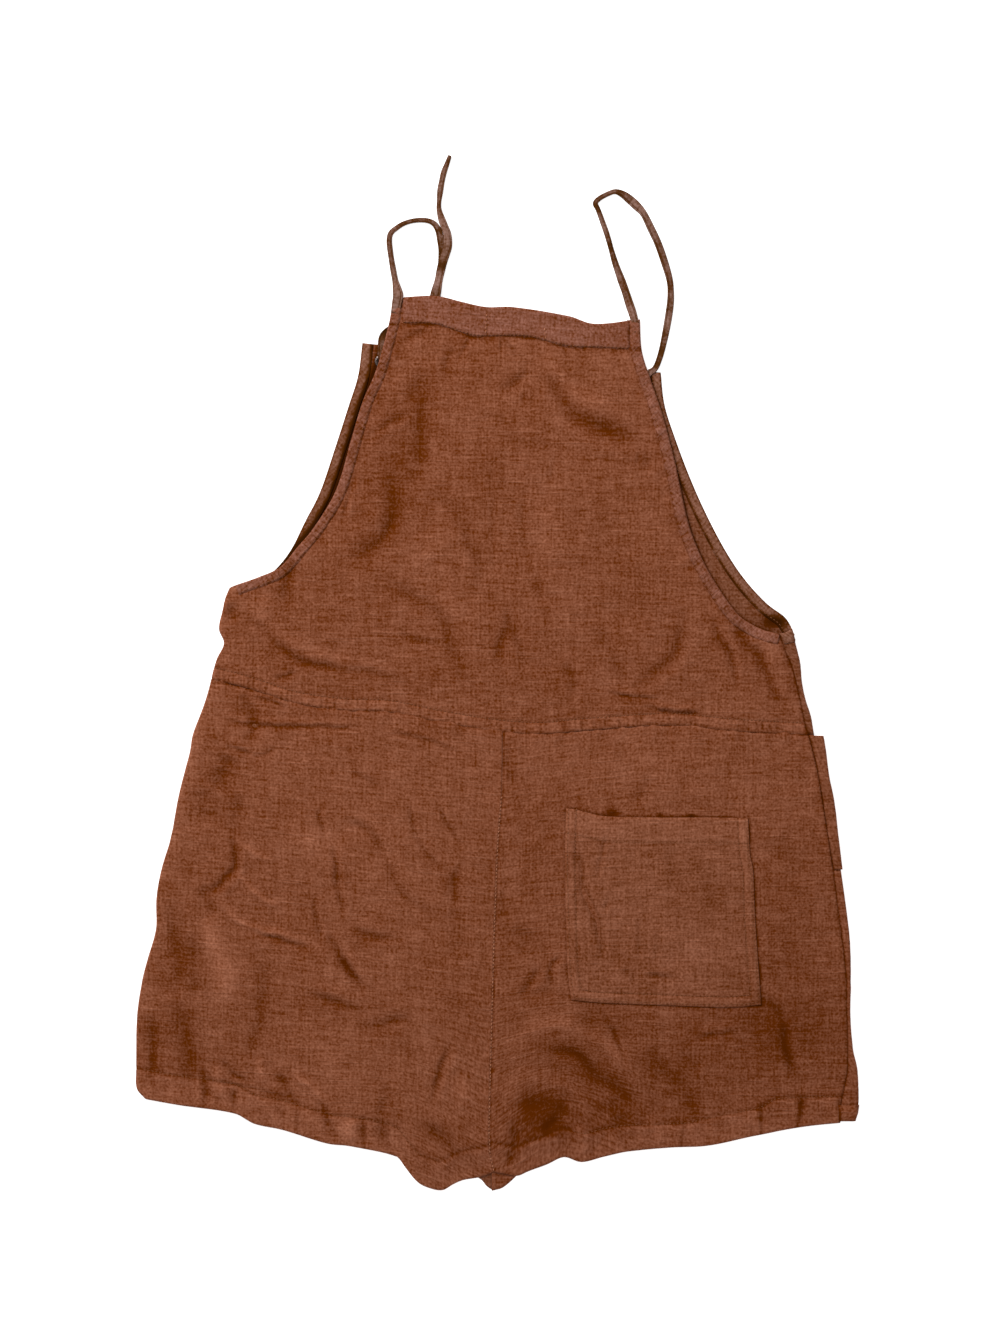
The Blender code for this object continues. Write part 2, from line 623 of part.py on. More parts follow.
def cloth(name, grid, put, parts, finish, lift=0.0):
    """A wall of cloth: a grid of points put down where the cloth lies, made solid to both sides."""
    mesh = bpy.data.meshes.new(name)
    surface = bmesh.new()
    bmesh.ops.create_grid(surface, x_segments=len(grid[0]) - 1, y_segments=len(grid) - 1, size=0.5)
    points = [point for row in grid for point in row]
    for vertex, point in zip(surface.verts, points):
        vertex.co = put(point, lift)
    bmesh.ops.recalc_face_normals(surface, faces=surface.faces)
    surface.to_mesh(mesh)
    surface.free()
    obj = add(name, mesh, parts, finish)
    wall = obj.modifiers.new("Wall", "SOLIDIFY")
    wall.thickness = CLOTH * MM
    wall.offset = 0
    mesh.shade_smooth()
    mesh.set_sharp_from_angle(angle=SHARP)
    return obj


def smooth_route(route, step):
    """Points every step along a smooth curve through the route."""
    points = [Vector(point) for point in route]
    points = [2 * points[0] - points[1]] + points + [2 * points[-1] - points[-2]]
    fine = []
    for a, b, c, d in zip(points, points[1:], points[2:], points[3:]):
        square, cube = 2 * a - 5 * b + 4 * c - d, 3 * b - a - 3 * c + d
        for t in np.linspace(0, 1, ROUTE_PARTS, endpoint=False):
            fine.append(0.5 * (2 * b + (c - a) * t + square * t**2 + cube * t**3))
    fine.append(points[-2])
    lengths = np.cumsum([0.0] + [(q - p).length for p, q in zip(fine, fine[1:])])
    stops = [0.0] + list(np.linspace(STRAP_LEAD, lengths[-1], round(lengths[-1] / step) + 1))
    places = [[float(at) for at in np.interp(stops, lengths, [p[axis] for p in fine])] for axis in range(3)]
    return [Vector(place) for place in zip(*places)]


def strap_profile(guides):
    """The flat section of a strap, across and up."""
    data = bpy.data.curves.new("strap_profile", "CURVE")
    spline = data.splines.new("POLY")
    spline.points.add(3)
    spline.use_cyclic_u = True
    corners = ((-1, -1), (-1, 1), (1, 1), (1, -1))
    for point, (across, up) in zip(spline.points, corners):
        point.co = (across * STRAP_WIDTH / 2 * MM, up * STRAP_THICK / 2 * MM, 0, 1)
    obj = bpy.data.objects.new("strap_profile", data)
    guides.objects.link(obj)
    obj.hide_render = True
    obj.display_type = "WIRE"
    return obj


def strap(name, route, profile, parts, finish):
    data = bpy.data.curves.new(name, "CURVE")
    data.dimensions = "3D"
    data.twist_mode = "Z_UP"
    data.bevel_mode = "OBJECT"
    data.bevel_object = profile
    data.use_fill_caps = True
    points = smooth_route(route, STRAP_STEP)
    spline = data.splines.new("POLY")
    spline.points.add(len(points) - 1)
    for target, point in zip(spline.points, points):
        target.co = (*(point * MM), 1)
    return add(name, data, parts, finish)


def eyelet(name, place, parts, finish):
    """A turned ring: a flange on the inside of the front, and a barrel through the cloth."""
    profile = (
        (EYELET_HOLE, 0.05), (EYELET_BARREL, 0.05), (EYELET_BARREL, CLOTH + CLEAR),
        (EYELET_RADIUS, CLOTH + CLEAR), (EYELET_RADIUS - 0.2, CLOTH + CLEAR + 0.5),
        (EYELET_HOLE + 1.2, CLOTH + CLEAR + 0.8), (EYELET_HOLE, CLOTH + CLEAR + 0.4),
    )
    mesh = bpy.data.meshes.new(name)
    ring = bmesh.new()
    corners = [ring.verts.new((radius * MM, 0, z * MM)) for radius, z in profile]
    for a, b in zip(corners, corners[1:] + corners[:1]):
        ring.edges.new((a, b))
    bmesh.ops.spin(
        ring, geom=ring.verts[:] + ring.edges[:], axis=(0, 0, 1), cent=(0, 0, 0),
        angle=2 * math.pi, steps=EYELET_SIDES, use_merge=True,
    )
    bmesh.ops.recalc_face_normals(ring, faces=ring.faces)
    ring.to_mesh(mesh)
    ring.free()
    mesh.shade_smooth()
    mesh.set_sharp_from_angle(angle=SHARP)
    obj = add(name, mesh, parts, finish)
    obj.location = (place.x * MM, place.y * MM, 0)
    return obj


def pierce(panel, place, guides):
    """A round hole through a panel for an eyelet's barrel."""
    mesh = bpy.data.meshes.new(f"{panel.name}_hole")
    cutter = bmesh.new()
    radius = (EYELET_BARREL + CLEAR) * MM
    bmesh.ops.create_cone(
        cutter, cap_ends=True, segments=EYELET_SIDES, radius1=radius, radius2=radius, depth=6 * CLOTH * MM
    )
    cutter.to_mesh(mesh)
    cutter.free()
    hole = bpy.data.objects.new(mesh.name, mesh)
    guides.objects.link(hole)
    hole.location = (place.x * MM, place.y * MM, LOW * MM)
    hole.hide_render = True
    hole.display_type = "WIRE"
    cut = panel.modifiers.new("Hole", "BOOLEAN")
    cut.operation = "DIFFERENCE"
    cut.object = hole


def strip(grid, first_row, columns):
    """Part of a panel's grid, for what is sewn along its edge."""
    return [row[columns] for row in grid[first_row:]]


def build():
    for obj in list(bpy.data.objects):
        bpy.data.objects.remove(obj, do_unlink=True)
    parts = bpy.data.collections.new("romper")
    guides = bpy.data.collections.new("romper_guides")
    for collection in (parts, guides):
        bpy.context.scene.collection.children.link(collection)

    binding_finish = linen("linen_binding", 1.05)

    bodice = back_bodice_grid()
    cloth("back_bodice", seamed(bodice, "bottom"), back_point, parts, linen("linen_bodice", 1.0))
    flat = ROWS_BELOW_ARMHOLE + 2
    foot = ROWS_BELOW_ARMHOLE
    cloth("back_binding_left", strip(bodice, flat, slice(0, 2)), back_point, parts, binding_finish, LIFT)
    cloth("back_binding_right", strip(bodice, foot, slice(-2, None)), back_point, parts, binding_finish, LIFT)
    band = draw_in(strip(bodice, -2, slice(1, -1)), GAP, {"left", "right"})
    cloth("back_top_band", band, back_point, parts, linen("linen_band", 1.04), LIFT)

    for name, grid in (
        ("back_leg_left", leg_grid("left", HEM_LEFT, HEM_LEFT[-1], back=True)),
        ("back_leg_right", leg_grid("right", HEM_RIGHT, HEM_RIGHT[0], back=True)),
    ):
        cloth(name, seamed(grid, "top"), back_point, parts, linen(f"linen_{name}", 0.98))
    pocket_lift = LIFT + POCKET_CLEAR
    cloth("back_pocket", back_pocket_grid(), back_point, parts, linen("linen_back_pocket", 0.96), pocket_lift)

    bib = front_bodice_grid()
    inside = linen("linen_inside", 0.8)
    front = cloth("front_bodice", seamed(bib, "bottom"), front_point, parts, inside)
    cloth("front_binding_left", strip(bib, flat, slice(0, 2)), front_point, parts, binding_finish, -LIFT)
    cloth("front_binding_right", strip(bib, flat, slice(-2, None)), front_point, parts, binding_finish, -LIFT)

    for name, grid in (
        ("front_leg_left", leg_grid("left", front_hem("left"), FRONT_CROTCH[2], back=False)),
        ("front_leg_right", leg_grid("right", front_hem("right"), FRONT_CROTCH[2], back=False)),
    ):
        cloth(name, seamed(grid, "top"), front_point, parts, linen(f"linen_{name}", 0.8))
    pocket_finish = linen("linen_front_pocket", 0.96)
    cloth("front_pocket_left", front_pocket_left_grid(), front_point, parts, pocket_finish, LIFT)
    cloth("front_pocket_right", front_pocket_right_grid(), gaping_front_point, parts, pocket_finish, LIFT)

    metal = material("eyelet_metal", METAL, 0.35, 1.0)
    for side, place in (("left", EYELET_LEFT), ("right", EYELET_RIGHT)):
        eyelet(f"eyelet_{side}", place, parts, metal)
        pierce(front, place, guides)

    profile = strap_profile(guides)
    strap_finish = linen("linen_strap", 0.9)
    strap("strap_left", STRAP_LEFT, profile, parts, strap_finish)
    strap("strap_left_tail", STRAP_LEFT_TAIL, profile, parts, strap_finish)
    strap("strap_right", STRAP_RIGHT, profile, parts, strap_finish)
    strap("strap_right_tail", STRAP_RIGHT_TAIL, profile, parts, strap_finish)


build()
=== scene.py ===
# %% [markdown]
# # A linen strap romper, laid flat
# The garment lies face down on a table with its back uppermost, as it comes out of a drawer.
# The frame holds its panels as plain solids at their real size. Here each panel becomes a thin
# shell of slubby linen with its creases, puckered seams, hems and stitches.
#
# Sizes are in millimetres until a mesh is written: +X across, +Y up the garment, +Z up.

import math
from collections import namedtuple

import bmesh
import bpy
import numpy as np
from mathutils import Matrix, Vector


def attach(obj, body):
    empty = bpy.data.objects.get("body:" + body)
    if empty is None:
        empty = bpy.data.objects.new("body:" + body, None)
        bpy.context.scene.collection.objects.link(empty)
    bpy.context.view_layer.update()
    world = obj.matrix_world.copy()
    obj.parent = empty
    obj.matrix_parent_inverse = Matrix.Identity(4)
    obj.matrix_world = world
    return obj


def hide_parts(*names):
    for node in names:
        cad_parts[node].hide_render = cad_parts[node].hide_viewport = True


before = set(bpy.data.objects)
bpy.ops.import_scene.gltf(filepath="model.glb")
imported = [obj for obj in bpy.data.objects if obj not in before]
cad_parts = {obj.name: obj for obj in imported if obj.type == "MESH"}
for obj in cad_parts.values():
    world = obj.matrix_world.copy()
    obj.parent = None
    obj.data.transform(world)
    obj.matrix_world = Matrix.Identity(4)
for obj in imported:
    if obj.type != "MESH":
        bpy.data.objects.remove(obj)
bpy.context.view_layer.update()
MM = 0.001


def add(name, data):
    """A new object in the scene."""
    made = bpy.data.objects.new(name, data)
    bpy.context.scene.collection.objects.link(made)
    return made


def mesh_of(name, shape):
    """A mesh with a bmesh's shape, which is then let go."""
    mesh = bpy.data.meshes.new(name)
    shape.to_mesh(mesh)
    shape.free()
    return mesh


print("frame:", len(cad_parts), "panels and pieces")

# %% [markdown]
# ## Camera, table and light
# A laid-out garment is looked at from straight above. A long distance keeps its edges upright.
# The table is nearly white and glows with painted light, so shadows on it fade. One broad lamp
# stands at the garment's upper left, so that every ridge has a lit side, and a pale sky fills the rest.

# %% Camera
VIEW_UP = 1066.4
VIEW_CENTRE = (1.6, 62.4)
EYE_HEIGHT = 2400.0
CLOTH_TOP = 4.5                  # the height that the view's size is measured at

camera = add("camera", bpy.data.cameras.new("camera"))
camera.location = (VIEW_CENTRE[0] * MM, VIEW_CENTRE[1] * MM, EYE_HEIGHT * MM)
camera.data.sensor_fit = "VERTICAL"
camera.data.angle = 2 * math.atan(VIEW_UP / 2 / (EYE_HEIGHT - CLOTH_TOP))
camera.data.clip_end = 20
bpy.context.scene.camera = camera
bpy.context.scene.view_settings.view_transform = "Standard"
print(f"camera: {EYE_HEIGHT:.0f} mm up, {math.degrees(camera.data.angle):.1f} degrees tall")


# %% Table and lamps
def feed(tree, made, inputs):
    """Sets a node's inputs. Each one is a value, or the socket that it is linked to."""
    for name, value in inputs.items():
        if isinstance(value, bpy.types.NodeSocket):
            tree.links.new(value, made.inputs[name])
        else:
            made.inputs[name].default_value = value


def node(tree, kind, inputs=None, **settings):
    """A new shader node."""
    made = tree.nodes.new("ShaderNode" + kind)
    for name, value in settings.items():
        setattr(made, name, value)
    feed(tree, made, inputs or {})
    return made


def finish_of(name):
    """A new material with its tree and its Principled shader."""
    made = bpy.data.materials.new(name)
    made.use_nodes = True
    return made, made.node_tree, made.node_tree.nodes["Principled BSDF"]


def lamp(name, place, size, power, colour):
    """A square lamp at a place in metres, facing the middle of the table."""
    data = bpy.data.lights.new(name, "AREA")
    data.size = size
    data.energy = power
    data.color = colour
    made = add(name, data)
    made.location = place
    made.rotation_euler = (-Vector(place)).to_track_quat("-Z", "Y").to_euler()


TABLE_SIDE = 8.0                 # in metres, as is its drop below the garment
TABLE_DROP = 0.0004
TABLE_GREY = 0.94
TABLE_PAINTED_GLOW = 0.7                 # painted light: the table glows, so it stays white where the cloth shades it
SKY = 0.50
KEY_PLACE = (-1.2, 1.9, 1.55)
KEY_SIZE = 0.9
KEY_POWER = 66.0
KEY_COLOUR = (1.0, 0.985, 0.96)
WHITE = (1, 1, 1, 1)

surface = bmesh.new()
bmesh.ops.create_grid(surface, x_segments=1, y_segments=1, size=TABLE_SIDE / 2)
table = add("table", mesh_of("table", surface))
table.location = (0, 0, -TABLE_DROP)
table_finish, tree, shader = finish_of("white_table")
feed(tree, shader, {
    "Base Color": (TABLE_GREY, TABLE_GREY, TABLE_GREY, 1), "Roughness": 0.9,
    "Emission Color": WHITE, "Emission Strength": TABLE_PAINTED_GLOW,
})
table.data.materials.append(table_finish)

world = bpy.data.worlds.new("soft_room")
world.use_nodes = True
feed(world.node_tree, world.node_tree.nodes["Background"], {"Color": WHITE, "Strength": SKY})
bpy.context.scene.world = world
lamp("key_lamp", KEY_PLACE, KEY_SIZE, KEY_POWER, KEY_COLOUR)

# %% [markdown]
# ## Lines of the cut
# The garment's outline and seams are smooth lines through a few named points. A line that runs
# up the garment gives x at each height, and one that runs across gives y at each x.

# %% Smooth lines
def smooth(keys, values, at):
    """Values on a smooth curve through a table. Past either end it stays level."""
    keys, values = np.asarray(keys, float), np.asarray(values, float)
    index = np.arange(len(keys))
    before, after = np.maximum(index - 1, 0), np.minimum(index + 1, len(keys) - 1)
    slope = (values[after] - values[before]) / (keys[after] - keys[before])
    at = np.clip(at, keys[0], keys[-1])
    b = np.clip(np.searchsorted(keys, at), 1, len(keys) - 1)
    a = b - 1
    run = keys[b] - keys[a]
    t = (at - keys[a]) / run
    return (
        values[a] * (2 * t**3 - 3 * t**2 + 1) + values[b] * (3 * t**2 - 2 * t**3)
        + slope[a] * run * (t**3 - 2 * t**2 + t) + slope[b] * run * (t**3 - t**2)
    )


def x_at(line, y):
    points = np.array(line, float)
    return smooth(points[:, 1], points[:, 0], y)


def y_at(line, x):
    points = np.array(line, float)
    return smooth(points[:, 0], points[:, 1], x)


def ease(t):
    """0 below 0, 1 above 1, and an S-curve between."""
    t = np.clip(t, 0, 1)
    return t * t * (3 - 2 * t)


def bump(away, reach):
    """1 on a line, and almost nothing a few reaches away from it."""
    return np.exp(-((away / reach) ** 2))


def spots(x, y, table):
    """Soft oval spots. Each is a strength, its middle's x and y, and its reach across and up."""
    total = np.zeros_like(x)
    for strength, middle_x, middle_y, across, up in table:
        total += strength * np.exp(-(((x - middle_x) / across) ** 2) - ((y - middle_y) / up) ** 2)
    return total


def evenly(points, count):
    """Points spaced equally along a chain of points."""
    points = np.asarray(points, float)
    lengths = np.r_[0, np.cumsum(np.linalg.norm(np.diff(points, axis=0), axis=1))]
    stops = np.linspace(0, lengths[-1], count)
    return np.stack([np.interp(stops, lengths, points[:, axis]) for axis in range(points.shape[1])], 1)


def curve_through(points, parts):
    """A smooth chain through some points, with a number of parts from each to the next."""
    points = np.asarray(points, float)
    padded = np.vstack([2 * points[0] - points[1], points, 2 * points[-1] - points[-2]])
    t = np.linspace(0, 1, parts, endpoint=False)[:, None]
    chain = []
    for a, b, c, d in zip(padded, padded[1:], padded[2:], padded[3:]):
        square, cube = 2 * a - 5 * b + 4 * c - d, 3 * b - a - 3 * c + d
        chain.append(0.5 * (2 * b + (c - a) * t + square * t**2 + cube * t**3))
    return np.vstack(chain + [points[-1:]])


def length_of(chain):
    return np.linalg.norm(np.diff(chain, axis=0), axis=1).sum()


def unit(vectors):
    return vectors / np.linalg.norm(vectors, axis=1)[:, None]


def rounded(points, step=2.0):
    """A smooth chain through some points, about a step apart."""
    chain = curve_through(points, 12)
    return evenly(chain, max(int(length_of(chain) / step), 2) + 1)


print("halfway up a smooth hill:", smooth([0, 10, 20], [0, 1, 0], 5))

# %% The outline
FOLD_LEFT = [
    (-282, -283), (-288, -276), (-289, -262), (-288.5, -220), (-284.5, -190), (-280, -172), (-273.5, -148),
    (-273, -124), (-269.5, -100), (-262.5, -76), (-255.5, -40), (-246.5, -6), (-244, 8), (-235.5, 31),
    (-231.5, 44), (-229.5, 53), (-225.5, 68), (-219.5, 81), (-223, 92), (-221, 104), (-217, 119),
    (-213.5, 127),
]
FOLD_RIGHT = [
    (286.2, -300), (288.7, -292), (288.2, -262), (284.7, -244), (282.7, -220), (282.7, -172), (280.2, -136),
    (275.2, -100), (272.2, -76), (267.7, -40), (260.7, -16), (255.7, 0), (253.7, 10), (251.7, 22),
    (247.2, 36), (244.2, 50), (242.2, 66), (238.7, 80), (236.7, 90), (234.7, 94), (237.7, 100),
]
SIDE_SEAM = [
    (274, -301), (275.5, -285), (280, -262), (280.3, -240), (280, -220), (278.8, -180), (273.8, -140),
    (269, -102), (262.7, -60), (256, -20), (250.5, 3), (246.6, 15), (243, 32), (239.4, 50), (235.6, 63),
    (230.6, 75), (226, 88),
]
CENTRE_SEAM = [(-3, -341.8), (-6, -329), (-7, -308), (-5, -232), (-3, -156), (0, -79), (3, -41), (4, 10)]
WAIST = [
    (-230, 53), (-199, 45), (-162, 33), (-120, 27), (-87, 26), (-47, 18), (4, 10), (37, 8.5), (70, 11.5),
    (140, 15.5), (188, 11), (251, 7.5),
]
BIB_TOP = [
    (-84, 356.5), (-56, 358.5), (-44, 357.5), (-28, 353.5), (-9, 349.5), (12, 349.5), (58, 342),
    (74, 336.5), (89, 336.5), (113.5, 340),
]
BAND_SEAM = [
    (-87, 336.5), (-72, 336.5), (-48, 335.5), (-29, 329), (-15, 326), (22, 326), (56, 318), (81, 317),
    (115, 315),
]
HEM_LEFT = [
    (-289, -281.8), (-256, -287.8), (-210, -294.8), (-195, -302.8), (-172, -307.8), (-136, -318.8),
    (-118, -320.8), (-80, -329.8), (-74, -337.8), (-64, -349.8), (-54, -354.8), (-44, -356.3),
    (-36, -351.8), (-28, -348.3), (-14, -345.8), (-3, -341.8),
]
HEM_RIGHT = [
    (-3, -341.8), (8, -343.8), (16, -344.8), (24, -341.3), (39, -335.8), (53, -329.8), (67, -333.8),
    (85, -329.3), (102, -325.3), (138, -321.8), (168, -320.3), (204, -312.8), (244, -305.3), (288, -300.8),
]
FRONT_CROTCH = [(-14, -347), (-8, -354), (-3, -356.5), (4, -354.5), (15, -345)]
print("outline:", len(FOLD_LEFT) + len(FOLD_RIGHT), "points down the sides")

# %% The armholes, from just past the foot up to the bib's top
ARMHOLE_FOOT = {"left": 119.0, "right": 88.0}
BACK_ARMHOLE = {
    "left": [
        (-215, 125), (-209.5, 127.5), (-191, 134), (-174, 142), (-160, 158), (-146, 175), (-129, 204),
        (-117, 244), (-108, 274), (-97, 300), (-87, 336.5), (-84, 356.5),
    ],
    "right": [
        (217.5, 90), (211, 92), (203, 96), (192, 104), (178, 123), (164, 147), (152, 178), (142, 224),
        (132, 262), (122, 292), (115, 315), (113.5, 340),
    ],
}
FRONT_ARMHOLE = {
    "left": [
        (-197, 125), (-187, 132), (-176, 141), (-164.5, 156), (-153.5, 178), (-141, 203), (-128.5, 240),
        (-118.5, 271), (-111, 295), (-107.5, 321.5),
    ],
    "right": [
        (236, 93), (229, 102), (215, 112.5), (198, 131), (183, 153), (167.5, 182), (154, 212),
        (141.5, 245), (133, 272), (130, 298),
    ],
}
print("armholes:", sum(len(line) for line in BACK_ARMHOLE.values()), "points on the back")

# %% [markdown]
# ## Two layers and their folded sides
# The front lies face down on the table and the back lies on it. A panel is worked out as if
# unrolled, then put down. At the left the back's cloth turns round under the garment to its seam,
# and at the right the front's cloth turns up over the edge to a seam that shows on top.

# %% Levels and turns
FRONT_LEVEL = 0.5
BACK_LEVEL = 4.0
TURN = (BACK_LEVEL - FRONT_LEVEL) / 2
HALF_TURN = math.pi * TURN
SEAM_UNDER = 11.0
LAYER = 1.3                      # one more layer of cloth
INSEAM = (-78.0, 70.0)
INSEAM_LEVEL = 1.9
INSEAM_REACH = 28.0
POCKET_REACH = (26.0, 60.0)      # round a front pocket, where the front still lies on it, and where not


def left_start(y):
    return x_at(FOLD_LEFT, y) + TURN


def right_start(y):
    return x_at(FOLD_RIGHT, y) - TURN


def left_seam(y):
    return left_start(y) + SEAM_UNDER


def unrolled_left(y):
    return left_start(y) - HALF_TURN - SEAM_UNDER


def unrolled_right(y):
    return 2 * right_start(y) + HALF_TURN - x_at(SIDE_SEAM, y)


FrontPocket = namedtuple("FrontPocket", "seam_top seam_bottom width drop_top drop_bottom")
FRONT_POCKET_LEFT = FrontPocket(44, -66, 150, -20, -50)
FRONT_POCKET_RIGHT = FrontPocket(7, -100, 150, -2, -28)


def front_level(x, y):
    """The front's middle height: on the table, or on its pockets."""
    rise = np.zeros_like(x)
    for pocket, seam_x, inward in (
        (FRONT_POCKET_LEFT, left_seam(y), 1),
        (FRONT_POCKET_RIGHT, right_start(y), -1),
    ):
        across = (x - seam_x) * inward
        part = np.clip(across / pocket.width, 0, 1)
        top = pocket.seam_top + pocket.drop_top * part
        bottom = pocket.seam_bottom + pocket.drop_bottom * part
        outside = np.maximum.reduce([across - pocket.width, y - top, bottom - y, np.zeros_like(x)])
        full, end = POCKET_REACH
        rise = np.maximum(rise, 1 - ease((outside - full) / (end - full)))
    return FRONT_LEVEL + LAYER * rise


def turned(x, start, outward, near, far):
    """(x, z) of cloth at height near up to start, which then turns round to height far."""
    past = (x - start) * outward
    angle = np.clip(past / TURN, 0, math.pi)
    middle, radius = (near + far) / 2, (near - far) / 2
    round_x = start + outward * np.abs(radius) * np.sin(angle)
    flat_x = start - outward * (past - HALF_TURN)
    turned_x = np.where(past <= 0, x, np.where(past >= HALF_TURN, flat_x, round_x))
    return turned_x, middle + radius * np.cos(angle)


print(f"left fold: {left_start(0) - unrolled_left(0):.1f} mm of cloth turns round and under")

# %% [markdown]
# ## Creases
# Linen keeps the creases of the drawer. Each one is a soft trough along a given line, with
# a depth, a width and, where the cloth was pushed up, a roll along one side. A negative depth is
# a ridge. Smooth random swells make their depth uneven, and lie between them.

# %% Soft random swells
SWELL_CELLS = 64                 # after this many lengths they repeat


def swells(x, y, length, seed):
    """Smooth random values from -1 to 1, whose bumps are about a length apart."""
    table = np.random.default_rng(seed).uniform(-1, 1, (SWELL_CELLS, SWELL_CELLS))
    u, v = x / length, y / length
    i, j = np.floor(u).astype(int), np.floor(v).astype(int)
    s, t = ease(u - i), ease(v - j)
    i, j, i2, j2 = (cell % SWELL_CELLS for cell in (i, j, i + 1, j + 1))
    low = table[i, j] * (1 - s) + table[i2, j] * s
    high = table[i, j2] * (1 - s) + table[i2, j2] * s
    return low * (1 - t) + high * t


def unevenness(along, length, seed):
    """The same along a line."""
    return swells(along, along * 0, length, seed)


def from_line(x, y, line):
    """How far each point lies to the left of a chain of points, and how far along it, in parts."""
    best = np.full(np.shape(x), np.inf)
    side, along = np.zeros_like(best), np.zeros_like(best)
    runs = np.diff(line, axis=0)
    lengths = np.linalg.norm(runs, axis=1)
    done = np.r_[0, np.cumsum(lengths)]
    for (ax, ay), (rx, ry), length, before in zip(line, runs, lengths, done):
        t = np.clip(((x - ax) * rx + (y - ay) * ry) / length**2, 0, 1)
        dx, dy = x - ax - t * rx, y - ay - t * ry
        away = np.hypot(dx, dy)
        nearer = away < best
        best = np.where(nearer, away, best)
        side = np.where(nearer, np.where(rx * dy - ry * dx >= 0, away, -away), side)
        along = np.where(nearer, (before + t * length) / done[-1], along)
    return side, along


def waves(x, y, table, seed):
    """Swells of several lengths. Each has its share, length, x's and y's stretch, and y's part in x."""
    return sum(
        share * swells(across * x + lean * y, up * y, length, seed + index)
        for index, (share, length, across, up, lean) in enumerate(table)
    )


CREASE_REACH = 4.0               # widths from its line that a crease is felt
CREASE_UNEVEN = 0.35
CREASE_WANDERS = 0.5             # widths that its line wanders
# painted shade is stronger in narrow creases, and a crease's roll gets painted light
NARROW_IS_DARKER = 1.2
ROLL_AT, ROLL_WIDTH = 2.1, 1.3   # in widths
ROLL_IS_LIGHTER = 0.6


def creased(x, y, creases, seed):
    """(height, painted shade) that some creases give: the painted shade is 1 in the deepest trough, and a
    roll gets painted light.
    """
    height, painted_shade = np.zeros_like(x), np.zeros_like(x)
    for index, (depth, width, roll, points) in enumerate(creases):
        line = rounded(points, 5.0)
        reach = CREASE_REACH * width + 6
        low, high = line.min(0) - reach, line.max(0) + reach
        near = np.flatnonzero((x > low[0]) & (x < high[0]) & (y > low[1]) & (y < high[1]))
        if not len(near):
            continue
        side, along = from_line(x[near], y[near], line)
        uneven = 1 + CREASE_UNEVEN * unevenness(along * 6, 1.0, seed + index)
        fade = np.clip(5 * along * (1 - along), 0, 1) * uneven
        wander = side + CREASE_WANDERS * width * swells(x[near], y[near], 4 * width, seed + index)
        trough = depth * np.exp(-np.abs(wander / width) ** 1.6)
        rolled = abs(roll) * bump(wander * np.sign(roll or 1) - ROLL_AT * width, ROLL_WIDTH * width)
        height[near] += fade * (rolled - trough)
        painted_shade[near] += fade * (trough * (1 + NARROW_IS_DARKER / width) - ROLL_IS_LIGHTER * rolled)
    return height, painted_shade


print("a swell:", unevenness(np.arange(0.0, 25.0, 5.0), 10.0, 1).round(2))

